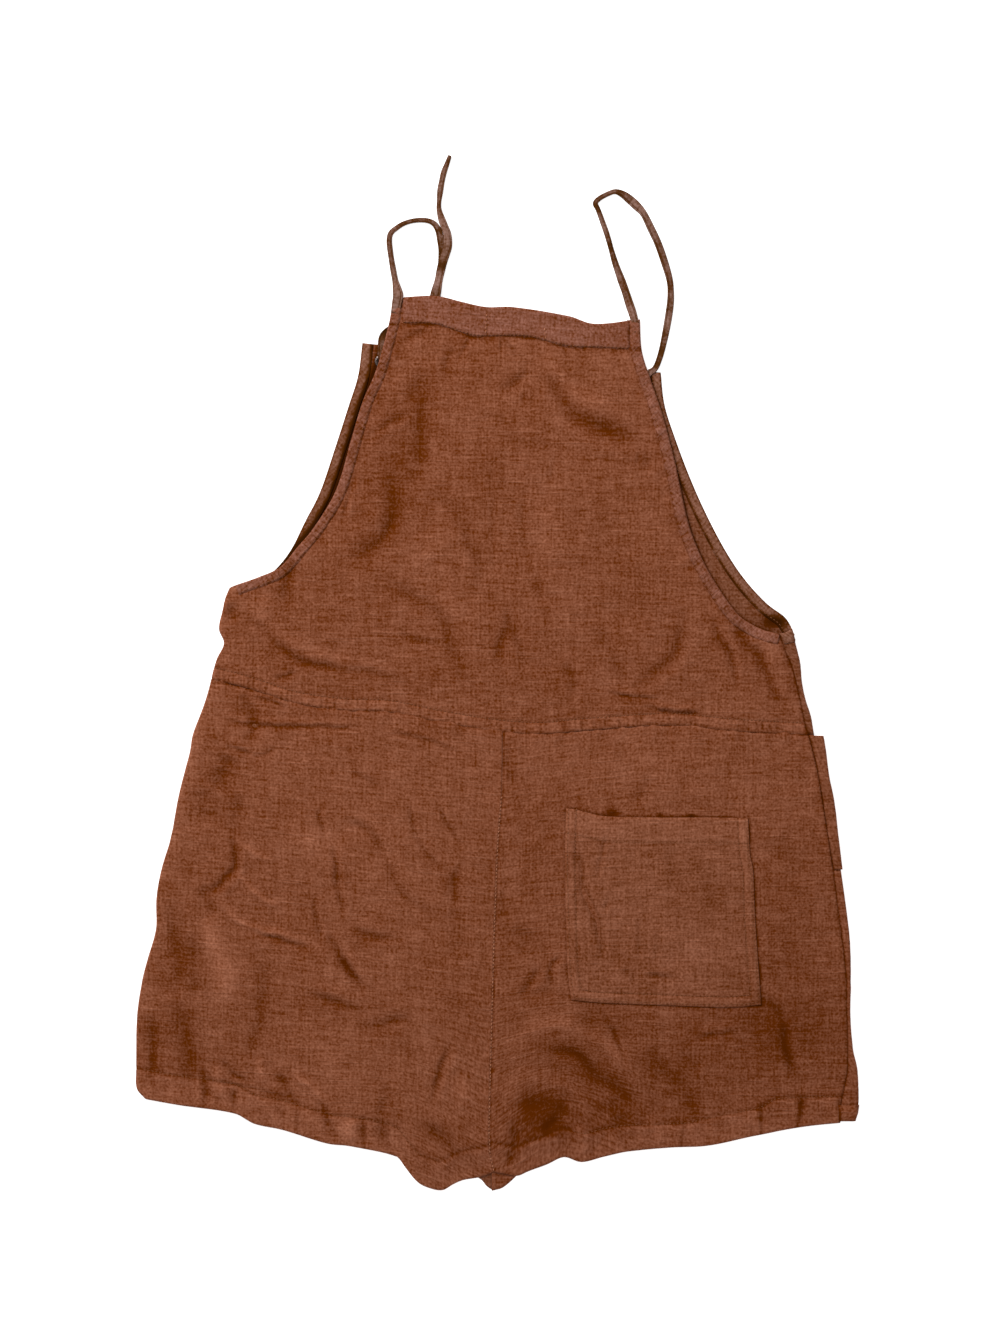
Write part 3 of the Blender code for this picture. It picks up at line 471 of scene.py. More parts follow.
# %% Creases of the bodice
# depth, width, roll, points
BODICE_CREASES = [
    (1.8, 6, -0.6, [(32, 294), (44, 291), (52, 276), (64, 262), (84, 254), (104, 248), (120, 243)]),
    # bib, to the right
    (-1.0, 8, 0, [(34, 312), (48, 300), (62, 286), (84, 272), (108, 262)]),
    (1.0, 4.5, 0, [(2, 290), (10, 287), (18, 292), (26, 300)]),
    (0.6, 4, 0, [(17, 277), (30, 275)]),
    (0.8, 5, 0, [(110, 229), (125, 226)]),
    # bib, to the left
    (1.0, 4, 0, [(-44, 319), (-36, 314), (-40, 302), (-36, 290)]),
    (1.1, 7, 0.2, [(-64, 292), (-60, 270), (-59, 250), (-62, 232), (-64, 216), (-70, 205)]),
    (0.8, 8, 0, [(-72, 270), (-62, 286), (-54, 300)]),
    (0.7, 2.4, 0.3, [(-70, 266), (-84, 258), (-103, 248)]),
    (1.0, 3, 0, [(-79, 321), (-66, 328), (-52, 331)]),
    (-0.4, 9, 0, [(-60, 318), (-81, 288), (-96, 248), (-104, 206)]),
    (1.4, 6, -0.4, [(-87, 219), (-83, 198), (-84, 180), (-92, 166), (-104, 156), (-121, 149)]),
    (0.7, 1.8, 0.3, [(-112, 222), (-120, 196), (-124, 176)]),
    (0.9, 4.5, -0.4, [(-54, 200), (-40, 195), (-29, 182), (-22, 162), (-15, 142), (-14, 120)]),
    (-0.5, 18, 0, [(-60, 170), (-45, 150)]),
    (1.0, 6, 0.4, [(-104, 138), (-78, 124), (-56, 112), (-43, 96), (-34, 74), (-24, 50), (-16, 33)]),
    (0.9, 2.8, 0, [(-80, 91), (-64, 83), (-43, 80)]),
    # from the underarm
    (1.2, 3.4, 0.6, [(-206, 102), (-186, 90), (-168, 74), (-150, 64), (-126, 59), (-102, 57),
                     (-84, 50), (-66, 45)]),
    (1.0, 2, 0, [(-160, 59), (-168, 55), (-178, 51)]),
    (0.5, 7, 0, [(-200, 84), (-172, 66)]),
    (1.5, 5, 0, [(-214, 113), (-209, 99)]),
    (1.1, 5, 0, [(-158, 143), (-168, 128), (-166, 108)]),
    (-0.6, 7, 0, [(-190, 118), (-182, 100)]),
    # over the waist's middle
    (1.0, 3.5, 0, [(8, 113), (8, 94), (2, 74), (5, 58)]),
    (0.8, 3, 0.3, [(10, 104), (16, 84), (25, 60)]),
    (1.1, 4, 0, [(56, 67), (60, 50), (60, 36)]),
    (0.5, 5, 0, [(70, 94), (85, 82), (94, 68), (104, 48)]),
    # right valley
    (0.9, 5, 0.4, [(151, 113), (148, 92), (142, 72), (128, 60), (108, 45)]),
    (1.3, 1.8, 0.3, [(88, 41), (104, 38), (131, 36.5)]),
    (1.5, 1.8, 0.6, [(118, 32), (130, 27), (142, 25), (163, 24.5)]),
    # from the right armhole
    (1.4, 2.6, 0.6, [(172, 103), (179, 84), (188, 68), (193, 46)]),
    (1.4, 3.8, 0.7, [(190, 101), (198, 82), (210, 68), (218, 52), (224, 36), (232, 25)]),
    (-0.7, 4, 0, [(208, 88), (222, 76), (230, 62)]),
    (0.8, 2.5, 0, [(228, 82), (236, 58), (240, 34)]),
    # down the middle
    (0.5, 3.5, 0, [(22, 206), (20, 176), (23, 150)]),
    (0.4, 4, 0, [(28, 138), (35, 112)]),
    (0.4, 2.6, 0, [(-3, 236), (-4, 176), (-2, 130)]),
    (0.5, 3, 0, [(-13, 262), (2, 261), (12, 257)]),
    (0.4, 4, 0, [(4, 243), (46, 240)]),
    (0.4, 3, 0, [(46, 232), (41, 206)]),
    (-0.4, 12, 0, [(50, 210), (44, 130)]),
    # under the band
    (0.6, 1.4, 0, [(3, 327), (3, 312)]),
    (0.7, 1.5, 0, [(4, 327), (9, 320), (17, 310)]),
    (0.6, 1.6, 0, [(-22, 330), (-25, 318), (-34, 306)]),
    (0.5, 1.5, 0, [(52, 320), (56, 309)]),
]
print("bodice:", len(BODICE_CREASES), "creases")

# %% Creases of the legs and the pocket
LEG_CREASES = [
    # under the left waist
    (1.1, 1.6, 0.5, [(-229, 51), (-208, 47), (-184, 39)]),
    (1.0, 1.6, 0.4, [(-196, 39), (-180, 34), (-166, 29)]),
    (1.2, 1.7, 0.6, [(-222, 21), (-206, 17), (-192, 15.5), (-150, 14), (-106, 13.5)]),
    (1.4, 5, 0, [(-206, 40), (-199, 28), (-194, 14), (-205, 2)]),
    (0.9, 1.8, 0.3, [(-218, -2), (-206, -5), (-196, -8)]),
    (0.8, 1.8, 0, [(-196, -9), (-186, -8), (-176, -3)]),
    (0.8, 1.8, 0.4, [(-86, 10), (-60, 4), (-28, -8)]),
    (0.7, 1.8, 0, [(-118, -22), (-106, -27), (-95, -35)]),
    (1.4, 9, 0, [(-214, -8), (-220, -26), (-226, -38)]),
    (1.1, 8, 0, [(-206, -38), (-210, -58), (-212, -76)]),
    (0.8, 10, 0, [(-232, -34), (-228, -66)]),
    (1.6, 2.6, 0.6, [(-212, -72), (-210, -88), (-211, -100), (-220, -110), (-231, -121)]),
    (1.2, 6, 0, [(-236, -112), (-231, -126), (-226, -138)]),
    # pinched ridges
    (-0.9, 2.2, 0, [(-226, -124), (-206, -141), (-186, -149), (-164, -152)]),
    (-0.8, 2.0, 0, [(-209, -78), (-194, -88), (-178, -94)]),
    (-1.0, 1.9, 0, [(-209, -100), (-199, -114), (-187, -124), (-172, -131)]),
    # beside the left fold
    (1.3, 7, 0, [(-262, -128), (-258, -152), (-254, -176), (-256, -204)]),
    (1.0, 6, 0, [(-244, -150), (-240, -178), (-243, -204)]),
    (1.2, 8, 0, [(-256, -204), (-251, -232), (-247, -256), (-250, -288)]),
    (-1.4, 9, 0, [(-232, -138), (-225, -172), (-214, -214)]),
    (1.3, 5, 0, [(-279, -216), (-275, -244), (-278, -276)]),
    (0.9, 6, 0.2, [(-185, -174), (-188, -206), (-190, -228), (-200, -252)]),
    (0.9, 1.8, 0.5, [(-144, -50), (-141, -62), (-138, -76)]),
    (1.4, 2.2, 0.6, [(-132, -80), (-129, -98), (-127, -118), (-122, -136)]),
    (1.1, 1.8, 0.5, [(-145, -120), (-146, -134), (-142, -146), (-141, -157)]),
    (2.0, 3.0, 0.8, [(-136, -153), (-126, -170), (-118, -181), (-108, -199)]),
    (1.1, 3.4, 0.5, [(-156, -200), (-136, -204), (-122, -209), (-104, -216)]),
    (0.9, 4.6, 0.3, [(-114, -224), (-94, -224), (-80, -221), (-64, -222)]),
    (1.0, 2.2, 0.5, [(-198, -149), (-178, -155), (-150, -164)]),
    (0.9, 3.0, 0.5, [(-124, -61), (-108, -66), (-98, -75), (-90, -90)]),
    (0.9, 4, 0.5, [(-92, -90), (-80, -112), (-68, -128), (-46, -136)]),
    (1.0, 2.2, 0.4, [(-70, -46), (-66, -70), (-57, -86), (-45, -100)]),
    (0.9, 1.9, 0.5, [(-50, -44), (-41, -62), (-27, -84)]),
    (0.9, 3, 0.3, [(-118, -148), (-98, -154), (-76, -154)]),
    (-0.6, 14, 0, [(-170, -70), (-110, -90)]),
    (1.1, 4.5, 0, [(-28, -94), (-33, -110), (-32, -130)]),
    (0.6, 8, 0, [(-34, -130), (-30, -170)]),
    # left of the crotch
    (1.2, 2.8, 0.5, [(-39, -238), (-45, -262), (-54, -288)]),
    (-0.8, 6, 0, [(-30, -262), (-22, -290)]),
    (1.3, 5, 0.4, [(-68, -303), (-50, -310), (-38, -322), (-18, -340)]),
    (1.0, 5, 0, [(-88, -272), (-92, -300), (-86, -326)]),
    # at the left hem
    (1.3, 3, 0.3, [(-140, -284), (-136, -300), (-130, -318)]),
    (-1.0, 3, 0, [(-164, -262), (-146, -278), (-133, -290)]),
    (1.2, 3, 0, [(-176, -262), (-168, -278), (-160, -290)]),
    (1.1, 2.6, 0, [(-220, -252), (-214, -262), (-198, -272)]),
    (1.3, 3, 0, [(-212, -274), (-211, -294)]),
    (-1.2, 4, 0, [(-226, -256), (-222, -284)]),
    (1.1, 3, 0, [(-236, -258), (-232, -290)]),
    (-1.0, 3, 0, [(-192, -250), (-186, -272)]),
    (-1.1, 4, 0, [(-118, -300), (-116, -318)]),
    (1.0, 3, 0, [(-107, -296), (-106, -320)]),
    (0.7, 1.6, 0, [(-250, -270), (-216, -272), (-176, -281), (-150, -290)]),
    # crotch
    (-0.9, 7, 0, [(8, -238), (34, -224), (62, -226), (86, -242), (104, -262), (122, -292)]),
    (2.0, 5, 0, [(34, -246), (52, -246), (66, -250), (82, -265), (100, -279), (112, -292)]),
    (0.9, 8, 0, [(92, -282), (104, -308)]),
    (-0.8, 6, 0, [(6, -284), (14, -273), (40, -268), (66, -280), (76, -304)]),
    (1.4, 8, 0, [(14, -290), (34, -287), (60, -294)]),
    (1.8, 7, 0, [(52, -300), (34, -310)]),
    (2.0, 5, 0, [(11, -300), (14, -318), (7, -337)]),
    (-1.2, 6, 0, [(66, -304), (70, -334)]),
    (1.3, 9, 0, [(122, -242), (136, -262), (150, -282), (162, -302)]),
    (0.6, 8, 0, [(146, -246), (162, -262)]),
    (-0.7, 9, 0, [(118, -300), (134, -318)]),
    (0.9, 1.8, 0.4, [(80, -209), (90, -225), (98, -242), (103, -258)]),
    (0.9, 12, 0, [(60, -216), (110, -232)]),
    (1.6, 4, 0.5, [(208, -202), (222, -211), (230, -228), (234, -252), (243, -278)]),
    (1.0, 2.6, 0.4, [(158, -236), (176, -232), (194, -232)]),
    (0.7, 24, 0, [(190, -222), (262, -240)]),
    (0.9, 2.4, 0, [(212, -286), (213, -306)]),
    (1.2, 2.6, 0, [(243, -280), (244, -303)]),
    (0.8, 1.6, 0, [(276, -280), (277, -300)]),
    # beside the centre seam
    (0.9, 3.5, 0, [(9, 6), (9, -16), (14, -36)]),
    (0.6, 5, 0, [(121, -24), (110, -48)]),
    (0.6, 4, 0, [(4, -116), (5, -142)]),
    (0.7, 5, 0, [(12, -146), (27, -155), (14, -170)]),
    (1.0, 2.8, 0.4, [(49, -168), (43, -184), (46, -198)]),
    (0.9, 3.2, 0.3, [(36, -176), (25, -192), (18, -203)]),
    (0.7, 3, 0, [(16, -200), (40, -199), (60, -201)]),
    (0.5, 14, 0, [(222, -70), (242, -112)]),
    (0.4, 14, 0, [(228, -130), (236, -190)]),
]
POCKET_CREASES = [
    (1.3, 3.2, 0.4, [(60, -73), (66, -96), (71, -122), (79, -142), (84, -162), (80, -180)]),
    (0.8, 1.8, 0.3, [(88, -73), (84, -86), (79, -108)]),
    (0.6, 1.6, 0, [(91, -120), (84, -134)]),
    (0.6, 1.6, 0, [(113, -138), (113, -174)]),
    (0.6, 2.4, 0, [(98, -178), (112, -192)]),
    (0.8, 2.0, 0.3, [(119, -184), (142, -187)]),
    (0.3, 3, 0, [(137, -84), (140, -120)]),
    (0.4, 2, 0, [(128, -150), (127, -176)]),
    (0.3, 8, 0, [(170, -90), (174, -150)]),
]
print("legs:", len(LEG_CREASES), "creases, and the pocket:", len(POCKET_CREASES))

# %% [markdown]
# ## Seams, hems and swells
# Sewing shows as relief: a ditch where two panels meet, a raised strip over the turnings, a
# fine groove under each row of stitches, and puckers where the thread pulled the cloth short.
# Painted shade darkens the ditches, grooves and seam lines, and painted light brightens raised strips.

# %% Grooves, raised strips and puckers
ALLOWANCE = 9.0                  # from the waist seam up to its topstitching
HEM_DEPTH = 22.0
BINDING = 8.0
# how deep, and how wide, the grooves of the seams are
WAIST_DITCH = (0.18, 0.8)
TOPSTITCH_DITCH = (0.3, 0.9)
BAND_DITCH = (0.5, 1.6)
SIDE_DITCH = (0.5, 1.3)
CENTRE_DITCH = (0.3, 0.9)
HEM_DITCH = (0.4, 1.1)
BINDING_DITCH = (0.2, 1.2)
# how much darker with painted shade, and how wide, their lines are
WAIST_LINE = (0.8, 1.0)
LEG_WAIST_LINE = (0.7, 1.0)
BAND_LINE = (2.4, 0.9)
SIDE_LINE = (2.6, 0.8)
LEG_SIDE_LINE = (2.7, 0.8)
CENTRE_LINE = (1.5, 0.7)
HEM_LINE = (1.0, 1.2)
WRAP_LINE = (3.2, 0.7)
FACING_LINE = (6.0, 1.0)
BINDING_LINE = (1.6, 1.0)
# how deep, and how much darker with painted shade, the dips across the waist's raised strip are
WAIST_NOTCH = (0.12, 2.4)


def ditch(away, depth, width):
    return -depth * bump(away, width)


def plateau(away, start, end, rise):
    """A raised strip with soft sides."""
    return rise * ease((away - start) / 1.6) * ease((end - away) / 1.6)


def puckers(along, away, reach, height, seed, length=7.0):
    """Short ripples square to a seam, which die out away from it."""
    ripple = swells(along, away * 0.3, length, seed) + 0.5 * swells(along, away * 0.5, length / 2, seed + 1)
    return height * ripple * bump(away, reach)


# share, length, x's and y's stretch, y's part in x: of the cloth's height, and of how much painted shade it
# has
SWELLING = [(0.40, 80, 1, 1, 0), (0.26, 34, 1, 1.3, 0), (0.18, 13, 1, 1, 0.4), (0.08, 5, 1, 1, 0)]
RIPPLES = [(0.16, 40, 1, 1, 0), (0.20, 16, 1, 1.4, 0), (0.22, 7, 1.5, 1, 0), (0.20, 4, 1, 1.6, 0)]


def beaded(along, away, start, end, height, seed):
    """A strip between two seams, puckered into beads: its height is also how much painted light it gets."""
    bead = 0.75 + 0.5 * unevenness(along, 3.4, seed) + 0.25 * unevenness(along, 9, seed + 1)
    return height * bead * ease((away - start) / 1.8) * ease((end - away) / 1.8)


def dark_line(away, along, line, seed):
    """The broken dark line of painted shade in a seam's groove: how much darker the cloth is painted."""
    dark, width = line
    broken = 0.75 + 0.45 * unevenness(along, 4, seed) + 0.25 * unevenness(along, 13, seed + 1)
    return dark * broken * bump(away, width)


NOTCH_PITCH = 4.6
NOTCH_WIDTH = 0.15               # part of the pitch


def notches(along, seed):
    """1 in the narrow dips that gathered cloth has across a binding, and 0 between them."""
    part = (along / NOTCH_PITCH + 0.5 * unevenness(along, 14, seed)) % 1 - 0.5
    return (0.6 + 0.4 * unevenness(along, 6, seed + 1)) * bump(part, NOTCH_WIDTH)


print("a raised strip:", plateau(np.arange(0.0, 10.0), 0, ALLOWANCE, 1).round(2))

# %% Relief of the bodice
ARMHOLE_LENGTH = 260.0
ARMHOLE_REACH = 30.0
GATHERED = {"left": 2.1, "right": 1.7}         # how much darker with painted shade the dips across its binding are


def armhole_relief(x, y):
    """Puckers along the bindings of the back, and the groove at their inner edges, with painted shade in the
    groove and dips and painted light on the beaded strip.
    """
    height, painted_shade = np.zeros_like(x), np.zeros_like(x)
    for side, inward, seed in (("left", 1, 31), ("right", -1, 41)):
        line = rounded(BACK_ARMHOLE[side][1:])
        reach = (line[:, 0] * inward).max() + ARMHOLE_REACH
        near = np.flatnonzero((x * inward < reach) & (y > ARMHOLE_FOOT["right"] - ARMHOLE_REACH))
        away, part = from_line(x[near], y[near], line)
        inside, along = -away * inward, part * ARMHOLE_LENGTH
        groove = ditch(inside - BINDING, *BINDING_DITCH)
        drawn = puckers(along, np.abs(inside - BINDING), 9, 0.4, seed)
        bead = beaded(along, inside, -1.0, BINDING, 0.5, seed + 5)
        notch = notches(along, seed + 7) * ease(inside / 2) * ease((BINDING + 2 - inside) / 2)
        height[near] += groove + drawn - 0.2 * notch
        painted_shade[near] += -0.8 * groove - 1.0 * drawn - 0.8 * bead + GATHERED[side] * notch
    return height, painted_shade


FOLD_LIGHT = 0.9
FOLD_LIGHT_WIDTH = 6.0
FOLD_LIGHT_LEAST = 0.35
FOLD_LIGHT_MIDDLE, FOLD_LIGHT_REACH = -25.0, 70.0
# painted shade beside the left binding: how dark, then the middle's x and y, and the reach across and up
PAINTED_SHADE_BESIDE_LEFT_BINDING = [(0.9, -95, 235, 26, 75)]


def left_fold_light(x, y):
    """The left fold catches the light, most of all beside the waist."""
    high = FOLD_LIGHT_LEAST + bump(y - FOLD_LIGHT_MIDDLE, FOLD_LIGHT_REACH)
    return FOLD_LIGHT * bump(x - left_start(y), FOLD_LIGHT_WIDTH) * high


def bodice_relief(x, y):
    height, painted_shade = creased(x, y, BODICE_CREASES, 100)
    over = y - y_at(WAIST, x)
    side = x_at(SIDE_SEAM, y) - x
    under_band = y_at(BAND_SEAM, x) - y
    deep, darker = WAIST_NOTCH
    notch = notches(x, 26) * plateau(over, 0, ALLOWANCE, 1)
    strip = beaded(x, over, 0.6, ALLOWANCE, 0.4, 25) - deep * notch
    groove = ditch(over - ALLOWANCE - 0.4, *TOPSTITCH_DITCH) + ditch(over, *WAIST_DITCH)
    band = ditch(under_band, *BAND_DITCH) + puckers(x, under_band, 7, 0.25, 27)
    seam = ditch(side, *SIDE_DITCH) + puckers(y, side, 6, 0.25, 13)
    arm, arm_painted_shade = armhole_relief(x, y)
    drawn = puckers(x, over - 5, 10, 0.3, 11, 5.0)
    height = height + waves(x, y, SWELLING, 1) + strip + groove + band + seam + drawn + arm
    # painted light on the waist's beaded strip and the left fold; painted shade in the grooves, band seam,
    # seams' dark lines, notches and beside the left binding
    painted_shade = painted_shade + waves(x, y, RIPPLES, 61) - 2.7 * strip - groove - 0.8 * (band + drawn) - seam
    painted_shade += arm_painted_shade + darker * notch + dark_line(side, y, SIDE_LINE, 92)
    painted_shade += dark_line(under_band - 0.3, x, BAND_LINE, 93) + dark_line(over, x, WAIST_LINE, 91)
    return height, painted_shade - left_fold_light(x, y) + spots(x, y, PAINTED_SHADE_BESIDE_LEFT_BINDING)


print("bodice at x 4, y 100: height and hollow", *bodice_relief(np.array([4.0]), np.array([100.0])))

# %% Relief of the legs
# soft shades where a leg sinks between its hem and the crotch, and lights where it swells:
# how dark, then the middle's x and y, and the reach across and up
BROAD_SHADES = [
    (1.1, 75, -275, 62, 50), (1.0, 38, -296, 24, 15), (0.9, 26, -306, 13, 14), (0.8, 225, -235, 70, 60),
    (-0.45, 120, -15, 110, 35), (-0.4, -55, -290, 50, 50), (0.7, -122, -212, 45, 11),
    (0.4, -190, -218, 12, 45), (0.5, -38, -311, 24, 14), (-0.4, -150, -240, 60, 70),
    (-0.25, -110, -60, 90, 60),
]
# x, and how deep the hem's turning is there
HEM_TURN = [(-290, 22), (60, 22), (147, 17.5), (172, 21), (211, 20.4), (222, 24.5), (250, 21.5), (275, 20)]
# x, how much darker with painted shade, and how wide the short creases across the hems are
HEM_NOTCHES = [
    (146.5, 1.6, 1.4), (211, 1.8, 1.8), (240, 2.2, 2.4), (275, 2.0, 1.1), (-211, 1.2, 2.0), (-235, 1.3, 2.2),
    (-160, 1.3, 2.0), (-107, 1.2, 2.0),
]


def hem_turn(x):
    return y_at(HEM_TURN, x)


def hem_notches(x, hem):
    shade = np.zeros_like(x)
    for middle, dark, width in HEM_NOTCHES:
        lean = 0.15 * hem * math.sin(middle)
        shade += dark * bump(x - middle - lean, width) * ease((HEM_DEPTH + 3 - hem) / 8)
    return shade


def above_hem(x, y):
    return y - np.where(x < HEM_LEFT[-1][0], y_at(HEM_LEFT, x), y_at(HEM_RIGHT, x))


def leg_relief(x, y):
    height, painted_shade = creased(x, y, LEG_CREASES, 200)
    under = y_at(WAIST, x) - y
    beside = x - x_at(CENTRE_SEAM, y)
    hem = above_hem(x, y)
    side = x_at(SIDE_SEAM, y) - x
    waist = ditch(under, *WAIST_DITCH) + puckers(x, under, 9, 0.35, 15, 5.0)
    centre = ditch(beside - 0.9, *CENTRE_DITCH) + 0.35 * bump(beside + 0.4, 1.0)
    centre += beaded(y, beside, 1.6, 5.0, 0.2, 29) + puckers(y, beside, 5, 0.2, 17, 5.0)
    turn = hem_turn(x)
    turned_up = plateau(hem, -4, turn, 0.35) + ditch(hem - turn - 0.8, *HEM_DITCH)
    drawn = puckers(x + 0.4 * hem, hem - 12, 13, 0.5, 19, 7.0)
    seam = ditch(side, *SIDE_DITCH) + puckers(y, side, 6, 0.25, 21)
    height = height + waves(x, y, SWELLING, 5) + waist + centre + turned_up + drawn + seam
    # painted shade in the ditches, puckers, dark lines and hem notches; painted light on the centre's raised
    # strip and the turned-up hem; broad painted shades and the left fold's light
    painted_shade = painted_shade + waves(x, y, RIPPLES, 67) - 0.9 * (waist + drawn) - 1.8 * centre - seam - 1.5 * turned_up
    painted_shade += dark_line(under, x, LEG_WAIST_LINE, 94) + dark_line(side, y, LEG_SIDE_LINE, 95)
    painted_shade += dark_line(beside - 1.1, y, CENTRE_LINE, 92)
    painted_shade += dark_line(hem - turn - 0.8, x, HEM_LINE, 96) + hem_notches(x, hem)
    return height, painted_shade + spots(x, y, BROAD_SHADES) - left_fold_light(x, y)


print(f"hems: turned up {min(deep for x, deep in HEM_TURN)} to {max(deep for x, deep in HEM_TURN)} mm")

# %% Relief inside the front
# how dark the front is beside the back's armholes, and how far from them
SHADED = {"left": ((1.0, 8.0), (11.0, 3.3)), "right": ((0.2, 8.0), (3.0, 1.7))}
SHADED_ABOVE = 80.0
# in the right armhole's foot: how dark, its middle's x and y, and its reach across and up
FOOT_SHADE = [(6.0, 220.0, 98.5, 8.0, 5.0)]


def front_relief(x, y):
    """Air under the front, which can only lift off the table, and the back's shade on its inside."""
    lifted = np.clip(1.3 * waves(x, y, SWELLING, 9) - 0.25, 0, None)
    shade = np.zeros_like(x)
    for side, inward in (("left", 1), ("right", -1)):
        line = rounded(BACK_ARMHOLE[side], 4.0)
        near = np.flatnonzero((y > SHADED_ABOVE) & (x * inward < (line[:, 0] * inward).max()))
        away = from_line(x[near], y[near], line)[0]
        for dark, reach in SHADED[side]:
            shade[near] += dark * bump(np.clip(away * inward, 0, None), reach)
    return lifted, 0.1 + shade + spots(x, y, FOOT_SHADE) + waves(x, y, RIPPLES, 63)


print("shade in the armhole's foot:", spots(np.array([220.0]), np.array([98.5]), FOOT_SHADE))

# %% Putting cloth down
LOWEST = 0.32                    # middle of the lowest cloth: its underside clears the table
LEAST_OVER = 1.3                 # middle of the back where it comes down on the front


def back_height(x, y, relief):
    """Middle of the back's cloth, which comes down to the front along the inseam."""
    outside = np.maximum(np.maximum(INSEAM[0] - x, x - INSEAM[1]), 0)
    opened = np.maximum(ease(above_hem(x, y) / INSEAM_REACH), ease(outside / INSEAM_REACH))
    level = INSEAM_LEVEL + (BACK_LEVEL - INSEAM_LEVEL) * opened
    return np.maximum(level + relief * (0.4 + 0.6 * opened), LEAST_OVER)


def put_back(x, y, lift, relief):
    """(place, painted shade) of points of the back's cloth. A lift moves out from it."""
    start = left_start(y)
    over = np.maximum(x, start)
    height, painted_shade = relief(over, y)
    near = back_height(over, y, height) + lift
    far = np.maximum(front_level(left_seam(y), y) - lift, LOWEST)
    place_x, place_z = turned(x, start, -1, near, far)
    return np.stack([place_x, y, place_z], 1), painted_shade


def put_on(relief):
    """How cloth of the back is put down, for a shell or its stitches."""
    def put(x, y, lift):
        return put_back(x, y, lift, relief)
    return put


POCKET_GAPE = 6.0
POCKET_EASE = 0.5
POCKET_GAPE_LENGTH = 44.0


def pocket_gape(y):
    """The right pocket's mouth stands out from the side, and closes on it lower down."""
    below = FRONT_POCKET_RIGHT.seam_top - y
    return POCKET_EASE + POCKET_GAPE * ease(1 - below / POCKET_GAPE_LENGTH)


WRAP_SHADE = 0.1                 # how much darker the wrapped edge is, low down
WRAP_SHADE_FROM, WRAP_SHADE_FADE = -60.0, 60.0
WRAP_SEAM_FADE = 5.0             # over which the back's height at the seam dies out on it
WRAP_WAVES, WRAP_WAVES_FADE = 0.4, 8.0


def put_front(x, y, lift, relief, gape=0.0):
    """(place, painted shade) of points of the front's cloth. A lift moves out, down on the table's side."""
    start = right_start(y) + gape
    under = np.minimum(x, start)
    height, painted_shade = relief(under, y)
    near = np.maximum(front_level(under, y) + height - lift, LOWEST)
    seam_x = x_at(SIDE_SEAM, y)
    beyond = np.maximum(2 * start + HALF_TURN - x - seam_x, 0)
    at_seam = np.where(y > y_at(WAIST, seam_x), bodice_relief(seam_x, y)[0], leg_relief(seam_x, y)[0])
    drawn = puckers(y, beyond, 6, 0.25, 23)
    waved = WRAP_WAVES * waves(x, y, SWELLING, 7) * ease(beyond / WRAP_WAVES_FADE)
    wrap = at_seam * np.exp(-beyond / WRAP_SEAM_FADE) + waved + drawn
    far = back_height(seam_x, y, wrap) + lift
    darker = WRAP_SHADE * ease((WRAP_SHADE_FROM - y) / WRAP_SHADE_FADE)
    darker = darker + dark_line(beyond, y, WRAP_LINE, 97)
    painted_shade = np.where(x > start + HALF_TURN / 2, waves(x, y, RIPPLES, 65) - drawn + darker, painted_shade)
    place_x, place_z = turned(x, start, 1, near, far)
    return np.stack([place_x, y, place_z], 1), painted_shade


print(f"the front pocket's mouth stands out {pocket_gape(FRONT_POCKET_RIGHT.seam_top)} mm")

# %% [markdown]
# ## Grids of cloth
# A panel is one grid that follows its four edges, so the weave can follow the grid. The rows and
# columns are close together where the cloth turns round. Solidify then gives the grid its wall.

# %% Patches and their edges
def patch(left, right, bottom, top, across, up):
    """A grid of points between four edges, with its columns and rows at parts of the way."""
    s, t = np.asarray(across)[None, :, None], np.asarray(up)[:, None, None]

    def at(edge, parts):
        count = len(edge) - 1
        stops = np.linspace(0, 1, count + 1)
        return np.stack([np.interp(parts, stops, edge[:, axis]) for axis in (0, 1)], 1)

    left, right, bottom, top = (np.asarray(edge, float) for edge in (left, right, bottom, top))
    sides = (1 - s) * at(left, up)[:, None] + s * at(right, up)[:, None]
    ends = (1 - t) * at(bottom, across)[None] + t * at(top, across)[None]
    corners = (
        (1 - s) * (1 - t) * bottom[0] + s * (1 - t) * bottom[-1] + (1 - s) * t * top[0] + s * t * top[-1]
    )
    return sides + ends - corners


def crowded(count, at_start=0.0, at_end=0.0):
    """Parts from 0 to 1 that lie closer together near an end, by a share from 0 to 1."""
    t = np.linspace(0, 1, count)
    t = t - at_start * np.sin(math.pi * t) * (1 - t) ** 2 / math.pi
    return t + at_end * np.sin(math.pi * t) * t**2 / math.pi


def with_lift(points, lift=0.0):
    return np.dstack([points, np.full(points.shape[:2], lift)])


# how far a row lies up from the edge, and its share of the hem's thickness under it
HEM_ROWS = [(14.0, 1.0), (7.0, 1.0), (1.2, 1.0), (-0.35, 0.8), (-0.5, 0.35)]


def hemmed(points, thickness=1.1):
    """Adds rows below the first one that turn the edge round and under, into the hem."""
    edge = points[0]
    up = unit(points[1, :, :2] - edge[:, :2])
    rows = [np.c_[edge[:, :2] + up * inset, edge[:, 2] - share * thickness] for inset, share in HEM_ROWS]
    return np.concatenate([np.array(rows), points])


# how far each added row lies out from the edge, and how far down
LAP_UNDER = ((0.0, 0.35), (1.8, 0.95))
ROUND_DOWN = ((0.0, 0.1), (0.3, 0.75))


